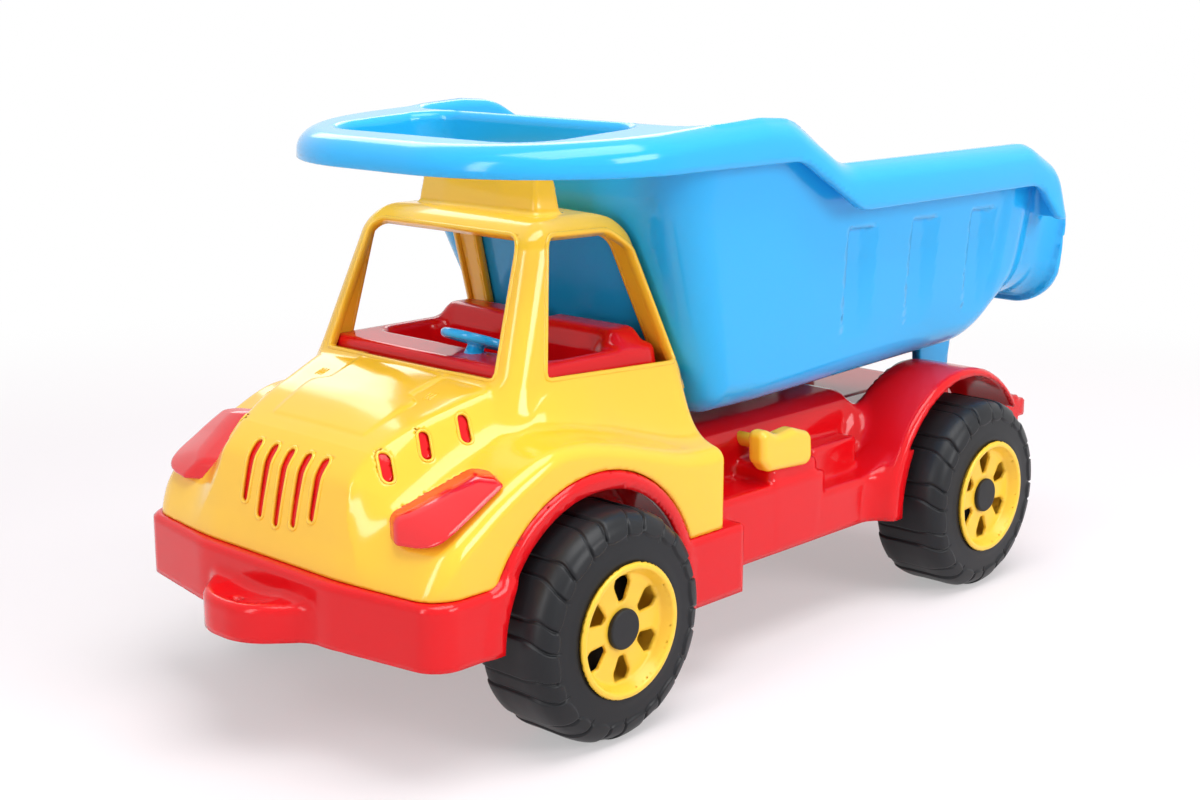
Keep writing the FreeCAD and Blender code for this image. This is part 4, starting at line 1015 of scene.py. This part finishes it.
arch_side = 0.112
arch_open, band_open = 0.0645, 0.070
liner_y, liner_half, liner_foot, liner_inset = 0.0722, 0.0018, 0.085, 0.001
# Each well's widest part stops short of the band's outer face. Over the rear axle it runs inwards
# below the deck.
band_inside, hollow_inner_side, hollow_top = 0.1085, 0.055, 0.0925
rear_end = -0.262
deck_top, deck_chamfer_side, deck_chamfer_edge, chamfer_slope = 0.121, 0.064, 0.006, 0.707
# The blocks between the wheels: back, inner side and foot, then front, outer side and top.
skirt_box = ((-0.111, 0, chassis_deep), (-0.040, arch_side, 0.082))
deck_box = ((rear_end, 0, chassis_deep), (0.060, 0.072, deck_top))
sill_box = ((-0.197, 0, chassis_deep), (-0.040, 0.100, 0.0920))
low_sill_box = ((rear_end, 0, chassis_deep), (-0.180, 0.100, 0.0800))
ramp_box = ((-0.192, 0, chassis_deep), (-0.150, 0.098, 0.1005))
block_box = ((-0.246, 0, chassis_deep), (-0.202, 0.086, 0.1000))
tail_box = ((-0.440, 0, chassis_deep), (-0.250, 0.080, 0.092))
nub_box = ((-0.446, 0.066, 0.077), (-0.436, 0.080, 0.089))
box_edge, ramp_edge, nub_edge, nub_blend = 0.003, 0.004, 0.002, 0.001
sill_blend, deck_blend, skirt_blend, block_join, tail_blend = 0.003, 0.0035, 0.0015, 0.0025, 0.004
# The open foot: ahead of the front wheel, under the skirt, outside and inside the liner, and at
# the tail.
foot_front, foot_skirt, foot_out, foot_in, foot_tail = 0.058, 0.045, 0.053, 0.048, 0.062
foot_front_from = 0.040
skirt_front, skirt_back = -0.060, -0.1125
hinge_ahead = -0.371
hinge_height = 0.106
pin_radius = 0.0031
post_radius, post_edge = 0.009, 0.0008
cheek_sides, cheek_half = (0.0593, 0.0467), 0.0025
bearer_half, bearer_inner, bearer_outer, bearer_foot, bearer_edge = 0.009, 0.062, 0.079, 0.048, 0.001
bearer_tops = (0.119, 0.0905)
axles = (0, rear_ahead)


def slab(x, y, z, corners, edge):
    """Distance to a block mirrored about the truck's middle, from its two corners."""
    low, high = corners
    dx = np.abs(x - (low[0] + high[0]) / 2) - (high[0] - low[0]) / 2 + edge
    dy = np.maximum(np.abs(y) - high[1], low[1] - np.abs(y)) + edge
    dz = np.abs(z - (low[2] + high[2]) / 2) - (high[2] - low[2]) / 2 + edge
    out = np.sqrt(np.maximum(dx, 0) ** 2 + np.maximum(dy, 0) ** 2 + np.maximum(dz, 0) ** 2)
    return out + np.minimum(overlap(dx, dy, dz), 0) - edge


def fender(x, y, z, axle, radius, start, finish):
    """Solid half drum over a wheel, with a rounded outer edge."""
    side = np.abs(y)
    drum = meet(from_centre(x - axle, z - tyre_radius) - radius, side - arch_side, fender_edge)
    drum = meet(drum, liner_y - fender_inside - side, fender_inner_edge)
    return overlap(drum, x - start, finish - x)


def chassis_outside(ahead, y, z):
    """Outside of the chassis moulding, run down past its open foot."""
    bumper = meet(outline(ahead, y, bumper_plan), z - bumper_top, bumper_edge)
    bumper = meet(bumper, chassis_deep - z, hidden_round)
    dish = np.sqrt((ahead - tow_dish_ahead) ** 2 + y * y * tow_dish_share) / tow_dish_reach
    dish = np.clip(dish, 0, 1) ** 2
    tow_lip = meet(outline(ahead, y, tow_plan), z - tow_top - tow_dish_rise * dish, tow_edge)
    front = join(bumper, tow_lip, bumper_blend)
    front = join(front, fender(ahead, y, z, 0, front_fender_radius, fender_reach, -fender_reach), front_blend)
    deck = slab(ahead, y, z, deck_box, box_edge)
    deck = meet(deck, (np.abs(y) - deck_chamfer_side + z - deck_top) * chamfer_slope, deck_chamfer_edge)
    sill, low_sill, skirt, block, tail = [slab(ahead, y, z, corners, box_edge) for corners in (
        sill_box, low_sill_box, skirt_box, block_box, tail_box)]
    middle = join(union(sill, low_sill), slab(ahead, y, z, ramp_box, ramp_edge), sill_blend)
    middle = join(join(middle, deck, deck_blend), skirt, skirt_blend)
    back = fender(ahead, y, z, rear_ahead, rear_fender_radius, rear_ahead + fender_reach,
                  rear_ahead - rear_fender_ahead)
    middle = join(join(middle, back, back_blend), block, block_join)
    return join(join(middle, front, skirt_blend), tail, tail_blend)


def chassis_shape(x, y, z):
    """The chassis moulding: a wall of even thickness, open below, with its liners and bearers."""
    ahead = x - front_axle
    side = np.abs(y)
    out = chassis_outside(ahead, y, z)
    liner = overlap(np.abs(side - liner_y + liner_half) - liner_half, out + liner_inset, liner_foot - z,
                    rear_end - ahead)
    shell = union(meet(out, -(out + chassis_wall), chassis_edge), liner)
    foot = np.where(side > liner_y, foot_out, foot_in)
    foot = np.where(ahead > foot_front_from, foot_front, foot)
    foot = np.where((ahead < skirt_front) & (ahead > skirt_back) & (side > liner_y), foot_skirt, foot)
    foot = np.where(ahead < rear_ahead, foot_tail, foot)
    cuts = foot - z
    for axle in axles:
        radial = from_centre(ahead - axle, z - tyre_radius)
        beside = liner_y - side
        well = union(
            overlap(radial - arch_open, beside), overlap(radial - band_open, beside, side - band_inside),
            overlap(radial - band_open, hollow_inner_side - side, ahead - rear_end, hollow_top - z))
        cuts = overlap(cuts, -well)
    shell = meet(shell, cuts, chassis_edge)
    hinge = from_centre(ahead - hinge_ahead, z - hinge_height)
    stem = overlap(np.abs(ahead - hinge_ahead), np.abs(z - hinge_height + post_radius))
    post = union(hinge, stem) - post_radius
    cheeks = union(*[np.abs(side - place) for place in cheek_sides]) - cheek_half
    shell = union(shell, overlap(meet(post, cheeks, post_edge), pin_radius - hinge))
    shell = join(shell, slab(ahead, y, z, nub_box, nub_edge), nub_blend)
    for axle, top in zip(axles, bearer_tops):
        corners = ((axle - bearer_half, bearer_inner, bearer_foot), (axle + bearer_half, bearer_outer, top))
        shell = union(shell, slab(ahead, y, z, corners, bearer_edge))
        shell = overlap(shell, pin_radius - from_centre(ahead - axle, z - tyre_radius))
    return meet(shell, tow_hole_radius - from_centre(ahead - tow_hole_ahead, y), tow_hole_edge)


chassis_low, chassis_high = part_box("chassis")
chassis = skin("chassis_skin", chassis_shape, chassis_low, chassis_high, chassis_step, red_plastic)
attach(chassis, "truck")
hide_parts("chassis")


# Tipping lever: a yellow grip with a saddle in its top, on a round shaft that runs into the
# chassis through the deck's side.
lever_inner, lever_outer, lever_edge = 0.0885, 0.1002, 0.0040
lever_line = [
    (-0.1385, 0.1230, 0.004), (-0.1450, 0.1230, 0.006), (-0.1540, 0.1190, 0.014),
    (-0.1680, 0.1205, 0.010), (-0.1835, 0.1155, 0.006), (-0.1850, 0.0970, 0.006),
    (-0.1460, 0.0995, 0.006), (-0.1395, 0.1060, 0.005)]
lever_shaft_ahead, lever_shaft_z, lever_shaft_radius = -0.158, 0.1115, 0.0040
lever_shaft_middle, lever_shaft_half = 0.0765, 0.0125
lever_blend, lever_step = 0.0015, 0.0012


def lever_shape(x, y, z):
    """The lever's grip and shaft."""
    ahead = x - front_axle
    grip = meet(outline(ahead, z, lever_line), np.abs(y - (lever_inner + lever_outer) / 2)
                - (lever_outer - lever_inner) / 2, lever_edge)
    shaft = from_centre(ahead - lever_shaft_ahead, z - lever_shaft_z) - lever_shaft_radius
    return join(grip, overlap(shaft, np.abs(y - lever_shaft_middle) - lever_shaft_half), lever_blend)


lever_low, lever_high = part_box("tip_lever")
lever_room = Vector((0.020, 0.004, 0.012))
lever = skin("lever_skin", lever_shape, lever_low - lever_room, lever_high + lever_room, lever_step,
             yellow_plastic)
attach(lever, "truck")
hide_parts("tip_lever")


# Bed: one blue moulding of the tub, the broad rolled rim, the canopy that reaches over the cab
# with its hand hole, and the tail chute. It turns on two ears under its floor.
bed_wall = 0.0047
bed_edge = 0.0003
bed_step = 0.0023
bed_side = 0.118
rim_top_line = [
    (0.10, -0.1), (0.10, 0.2778), (-0.118, 0.2900, 0.040), (-0.142, 0.2885, 0.040), (-0.188, 0.2620, 0.034),
    (-0.378, 0.2620, 0.030), (-0.412, 0.2460, 0.030), (-0.4262, 0.2130, 0.002), (-0.4262, -0.1)]
rim_low_line = [
    (0.10, -0.1), (0.10, 0.2670), (-0.146, 0.2670, 0.030), (-0.200, 0.2370, 0.030), (-0.386, 0.2370, 0.026),
    (-0.409, 0.2136, 0.010), (-0.60, 0.2136), (-0.60, -0.1)]
tub_top_line = [
    (0.10, -0.1), (0.10, 0.2768), (-0.118, 0.2890, 0.040), (-0.142, 0.2875, 0.040), (-0.188, 0.2610, 0.034),
    (-0.378, 0.2610, 0.030), (-0.410, 0.2450, 0.020), (-0.4225, 0.2320, 0.004), (-0.4380, 0.2170, 0.006),
    (-0.60, 0.2100), (-0.60, -0.1)]
tub_floor = 0.131
tub_low_half = 0.084
tub_high_half = 0.110
hump_top = 0.290
tub_line = [(-0.070, 0.5), (-0.070, 0.244, 0.040), (-0.1140, tub_floor, 0.016), (-0.406, 0.140, 0.060),
            (-0.406, 0.5)]
# The tub's lower edge is rounder towards its front.
tub_edge, tub_edge_front, front_from, front_length = 0.015, 0.007, -0.16, 0.06
chute_floor, chute_floor_edge = 0.1605, 0.024
chute_half, chute_spread, chute_top = 0.087, 0.008, 0.214
flare_from, flare_length, flare_side, flare_down = -0.428, 0.018, 0.006, 0.005
tail_end, inner_end = -0.449, -0.6
# The chute from the side: its root, and its end as distances from a given end.
chute_root = [(-0.380, 0.5), (-0.380, 0.05)]
chute_end = [(0, 0.05), (0, 0.168, 0.05), (0.0040, 0.2120, 0.003), (0.0120, 0.2180, 0.003), (0.0120, 0.5)]
flange_proud, flange_length = 0.0028, 0.0048
chute_edge, flange_edge, chute_blend, flange_blend = 0.0015, 0.0012, 0.011, 0.0022
# Sunk panels in each side: where each starts, how it leans and where it fades out downwards.
groove_fronts = (-0.212, -0.2745, -0.337)
groove_length = 0.028
groove_slope = 0.012
groove_sink = 0.0034
groove_top = 0.2245
groove_lean, groove_top_slope = 0.16, 0.05
groove_foot, groove_fade, groove_side = 0.160, 0.045, 0.05
canopy_plan = mirrored([(-0.7, bed_side), (0.043, bed_side, 0.094)])
canopy_edge, canopy_low_edge, canopy_blend = 0.0105, 0.0011, 0.0035
canopy_bulge, bulge_half = 0.0016, 0.013
hand_hole = mirrored([(-0.069, 0.078, 0.020), (0.012, 0.078, 0.026)])
collar_wall, collar_foot, collar_inset, collar_blend = 0.0032, 0.2685, 0.0006, 0.0025
inner_rim_edge, inner_rim_sink, wall_end_edge = 0.0042, 0.001, 0.0012
ear_line = mirrored([(0.0130, hinge_height - 0.0085, 0.0082), (0.0195, 0.150)], 0)
ear_middle, ear_half, ear_edge, ear_blend, ear_sunk = 0.053, 0.003, 0.0008, 0.0018, 0.001


def tub_outside(ahead, side, z, end):
    """Outside of the tub and its chute, up past the rim, with the chute run on to an end."""
    wall = -plane(side, z, (tub_low_half, tub_floor), (tub_high_half, hump_top))
    front = np.clip((ahead - front_from) / front_length, 0, 1)
    tub = meet(outline(ahead, z, tub_line), wall, tub_edge + tub_edge_front * front)
    flare = np.clip((flare_from - ahead) / flare_length, 0, 1) ** 2
    trough = -plane(side, z, (chute_half, chute_floor), (chute_half + chute_spread, chute_top))
    trough = meet(trough - flare_side * flare, chute_floor - flare_down * flare - z, chute_floor_edge)
    reach = outline(ahead, z, chute_root + [(end + corner[0],) + corner[1:] for corner in chute_end])
    chute = meet(trough, reach, chute_edge)
    flange = overlap(meet(trough - flange_proud, reach, flange_edge), ahead - end - flange_length)
    whole = join(join(tub, chute, chute_blend), flange, flange_blend)
    fade_down = np.clip((z - groove_foot) / groove_fade, 0, 1)
    for start in groove_fronts:
        behind = start - (groove_top - z) * groove_lean - ahead
        depth = groove_sink * np.clip((groove_length - behind) / groove_slope, 0, 1) * fade_down
        groove = overlap(-behind, behind - groove_length, groove_side - side,
                         z - groove_top + behind * groove_top_slope, -(whole + depth))
        whole = overlap(whole, -groove)
    return whole


def bed_shape(x, y, z):
    """The bed moulding: the rim's band and the tub's walls, with the hand hole and the ears."""
    ahead = x - front_axle
    side = np.abs(y)
    top = outline(ahead, z, rim_top_line)
    tub_top = outline(ahead, z, tub_top_line)
    bulge = canopy_bulge * np.clip((-top - bulge_half) / bulge_half, -1, 1) ** 2
    lid = meet(outline(ahead, y, canopy_plan) + bulge, top, canopy_edge)
    band = meet(meet(lid, -(lid + bed_wall), bed_edge), -outline(ahead, z, rim_low_line), canopy_low_edge)
    tub = tub_outside(ahead, side, z, tail_end)
    inner = tub_outside(ahead, side, z, inner_end) + bed_wall
    bed = join(band, overlap(meet(tub, -inner, wall_end_edge), tub_top), canopy_blend)
    hand = outline(ahead, y, hand_hole)
    collar = overlap(meet(hand - collar_wall, collar_foot - z, hidden_round), lid + collar_inset)
    bed = join(bed, collar, collar_blend)
    bed = overlap(bed, meet(tub_top - inner_rim_sink, -union(hand, inner), inner_rim_edge))
    ear = meet(outline(ahead - hinge_ahead, z, ear_line), np.abs(side - ear_middle) - ear_half, ear_edge)
    bed = join(bed, overlap(ear, -(tub + ear_sunk)), ear_blend)
    return overlap(bed, pin_radius - from_centre(ahead - hinge_ahead, z - hinge_height))


bed_low, bed_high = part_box("bed")
bed = skin("bed_skin", bed_shape, bed_low, bed_high, bed_step, blue_plastic)
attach(bed, "bed")
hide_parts("bed")


# Rims: yellow dishes pressed into the tyres, with a rolled lip, a sloped wall and a thin disc that
# has six windows round the axle's hub.
rim_low, rim_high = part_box("rim_front_left")
rim_face, rim_back = rim_high.y, rim_low.y
lip_radius, lip_thick, lip_foot, bead_radius = 0.0330, 0.0015, 0.0010, 0.0308
# The barrel narrows by this much to its back, and the dish's inside by less at its other corners.
barrel_wall, back_draft, corner_draft, disc_draft, face_draft = 0.0022, 0.0014, 0.0010, 0.0016, 0.0004
rim_depth = 0.024
disc_sunk, disc_thick = 0.0062, 0.0021
hub_radius, hub_bore = 0.0088, 0.0032
window_count = 6
window_corners = mirrored([(0.0021, 0.0134, 0.0016), (0.0060, 0.0220, 0.0034), (0.0042, 0.0262, 0.0018)], 0)
disc = rim_face - disc_sunk
disc_back = disc - disc_thick
lip_back, barrel_back = rim_face - lip_thick, rim_face - rim_depth
rim_inner = bead_radius - barrel_wall
rim_section = [
    (lip_radius, rim_face, 0.0007), (lip_radius, lip_back), (bead_radius, lip_back - lip_foot),
    (bead_radius - back_draft, barrel_back), (rim_inner - back_draft, barrel_back),
    (rim_inner - corner_draft, disc_back), (hub_radius, disc_back), (hub_radius, rim_back),
    (hub_bore, rim_back), (hub_bore, disc), (rim_inner - disc_draft, disc, 0.0022),
    (bead_radius - face_draft, rim_face, 0.0008)]
window_overrun = 0.001
rim_edge, rim_step = 0.0003, 0.0013


def rim_shape(axle):
    """The shape of a rim on an axle."""
    def shape(x, y, z):
        """The section turned round the axle, with its windows."""
        out = np.abs(y)
        ahead, up = x - axle, z - tyre_radius
        radial = from_centre(ahead, up)
        share = 2 * math.pi / window_count
        turn = (np.arctan2(ahead, up) + share / 2) % share - share / 2
        window = outline(radial * np.sin(turn), radial * np.cos(turn), window_corners)
        window = overlap(window, disc_back - window_overrun - out)
        return meet(outline(radial, out, rim_section), -window, rim_edge)
    return shape


for end, axle in (("front", front_axle), ("rear", rear_axle)):
    for side in sides:
        low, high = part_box(f"rim_{end}_{side}")
        rim = skin(f"rim_{end}_{side}_dish", rim_shape(axle), low, high, rim_step, rim_plastic)
        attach(rim, f"wheel_{end}_{side}")
        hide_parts(f"rim_{end}_{side}")


# Tyres: hard black plastic, blown in one piece. Wide tread panels stand between narrower sunk
# slats, their grooves sweep over the shoulder and part the two-fingered lugs on the sidewall.
tyre_outer = tyre_high.y
# The section from the outer bead over the tread to the inner bead: distance inwards of the outer
# sidewall, and radius.
tyre_section = [
    (0.0100, 0.0310), (0.0040, 0.0312), (0.0016, 0.0320), (0.0007, 0.0345), (0.0003, 0.0385),
    (0.0004, 0.0430), (0.0009, 0.0475), (0.0022, 0.0515), (0.0046, 0.0544), (0.0082, 0.0562),
    (0.0125, 0.0569), (0.0200, 0.0570), (0.0300, 0.0570), (0.0400, 0.0569), (0.0432, 0.0560),
    (0.0452, 0.0535), (0.0459, 0.0490), (0.0458, 0.0430), (0.0440, 0.0340), (0.0400, 0.0310),
    (0.0250, 0.0310)]
row_fine, row_coarse = 0.0005, 0.0019
column_fine, column_coarse, column_reach, column_even = 0.00033, 0.0021, 0.0016, 0.7
section_samples, pitch_samples = 1600, 1200
pitches = 12
pitch_length = 2 * math.pi * tyre_radius / pitches
groove_a, groove_b, groove_b_side = 0.25 * pitch_length, 0.53 * pitch_length, 0.66 * pitch_length
groove_half, groove_depth, groove_soft = 0.0008, 0.0014, 0.0008
foot_a_outer, foot_b_outer, foot_inner, foot_soft = 0.0443, 0.0482, 0.0500, 0.001
slat_depth, slat_soft = 0.0008, 0.0006
slat_foot, slat_fade = 0.0525, 0.004
sweep, sweep_reach = 0.0075, 0.017
tread_middle = 0.02
lug_foot, lug_wave, lug_wave_power, lug_depth, lug_soft = 0.0458, 0.0019, 2.5, 0.0010, 0.0008
lug_inner, lug_fade, lug_reach, lug_reach_soft = 0.034, 0.005, 0.023, 0.004
lug_zone_middle, lug_zone_half, lug_zone_inward = 0.0468, 0.0032, 0.004
side_inward, side_soft = 0.010, 0.012


def soft_step(value, width):
    """Zero below zero, one above it, with a soft change this wide."""
    share = np.clip(value / width + 0.5, 0, 1)
    return share * share * (3 - 2 * share)


def graded(run, spacing):
    """Numbers along run, set apart by the spacing given for each of its values."""
    steps = np.concatenate([[0], np.cumsum(np.diff(run) / ((spacing[1:] + spacing[:-1]) / 2))])
    return np.interp(np.linspace(0, steps[-1], int(steps[-1]) + 2), steps, run)


def tyre_sink(place, inward, radius, groove_b_here):
    """How far the tyre's surface is sunk below its smooth section."""
    lines = []
    for groove, foot_outer in ((groove_a, foot_a_outer), (groove_b_here, foot_b_outer)):
        foot = np.where(inward < tread_middle, foot_outer, foot_inner)
        lines.append(soft_step(groove_half - np.abs(place - groove), groove_soft)
                     * soft_step(radius - foot, foot_soft))
    between = soft_step(place - groove_a, slat_soft) * soft_step(groove_b_here - place, slat_soft)
    slat = between * soft_step(radius - slat_foot, slat_fade) * slat_depth
    first = np.clip((place - groove_a) / (groove_b_here - groove_a), 0, 1)
    second = ((place - groove_b_here) % pitch_length) / (pitch_length - groove_b_here + groove_a)
    finger = np.where((place > groove_a) & (place < groove_b_here), first, second)
    foot = lug_foot + lug_wave * np.abs(2 * finger - 1) ** lug_wave_power
    outer = soft_step(lug_reach - inward, lug_reach_soft)
    sidewall = soft_step(foot - radius, lug_soft) * outer * np.clip((radius - lug_inner) / lug_fade, 0, 1)
    return overlap(*[line * groove_depth for line in lines], slat, sidewall * lug_depth)


def tyre(name, axle, side):
    """Tyre built as its section turned about the axle and sunk along the section's normal."""
    points = np.array(tyre_section)
    run = np.concatenate([[0], np.cumsum(np.linalg.norm(np.diff(points, axis=0), axis=1))])
    fine_run = np.linspace(0, run[-1], section_samples)
    fine = np.stack([along(fine_run, run, points[:, k]) for k in range(2)], 1)
    lug_zone = (fine[:, 0] < lug_zone_inward) & (np.abs(fine[:, 1] - lug_zone_middle) < lug_zone_half)
    rows = graded(fine_run, np.where(lug_zone, row_fine, row_coarse))
    section = np.stack([np.interp(rows, fine_run, fine[:, k]) for k in range(2)], 1)
    tangent = np.gradient(section, rows, axis=0)
    normal = unit(np.stack([-tangent[:, 1], tangent[:, 0]], 1))
    fine_place = np.linspace(0, pitch_length, pitch_samples)
    to_groove = np.minimum(np.abs(fine_place - groove_a), np.abs(fine_place - groove_b))
    columns = graded(fine_place, column_fine + (column_coarse - column_fine)
                     * np.clip(to_groove / column_reach - column_even, 0, 1))[:-1]
    groove_b_rows = groove_b + (groove_b_side - groove_b) * soft_step(side_inward - section[:, 0], side_soft)
    place = np.stack([np.interp(columns, [0, groove_a, groove_b, pitch_length],
                                [0, groove_a, b, pitch_length]) for b in groove_b_rows])
    inward, radius = section[:, 0:1], section[:, 1:2]
    sink = tyre_sink(place, inward, radius, groove_b_rows[:, None])
    swept = place - sweep * np.clip(1 - inward / sweep_reach, 0, 1) ** 2
    angle = np.concatenate([(swept + k * pitch_length) / tyre_radius for k in range(pitches)], 1)
    inward = np.tile(inward - normal[:, 0:1] * sink, (1, pitches))
    radius = np.tile(radius - normal[:, 1:2] * sink, (1, pitches))
    places = np.stack([axle + radius * np.cos(angle), side * (tyre_outer - inward),
                       tyre_radius + radius * np.sin(angle)], -1)
    mesh = ring_mesh(name, places, closed=False, flipped=side > 0)
    mesh.shade_smooth()
    return new_piece(name, mesh, tyre_plastic)


# A flat black ring across the tyre's inner opening, behind the rim, is a dark sheet of painted shade, so the
# rim's windows look dark.
web_inner, web_outer, web_near, web_far = 0.0094, 0.0309, 0.0262, 0.0278
web_count = 72


def web(name, axle, side):
    """Flat ring across the tyre's inner opening."""
    angle = np.linspace(0, 2 * math.pi, web_count, endpoint=False)
    rings = ((web_inner, web_near), (web_outer, web_near), (web_outer, web_far), (web_inner, web_far))
    places = np.stack([
        np.stack([axle + radius * np.cos(angle), np.full(web_count, side * (tyre_outer - inward)),
                  tyre_radius + radius * np.sin(angle)], 1) for radius, inward in rings])
    return new_piece(name, ring_mesh(name, places, flipped=side > 0), tyre_plastic)


for end, axle in (("front", front_axle), ("rear", rear_axle)):
    for side, sign in sides.items():
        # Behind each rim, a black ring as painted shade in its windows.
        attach(web(f"tyre_{end}_{side}_inner_wall", axle, sign), f"wheel_{end}_{side}")
        piece = tyre(f"tyre_{end}_{side}_tread", axle, sign)
        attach(piece, f"wheel_{end}_{side}")
        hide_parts(f"tyre_{end}_{side}")
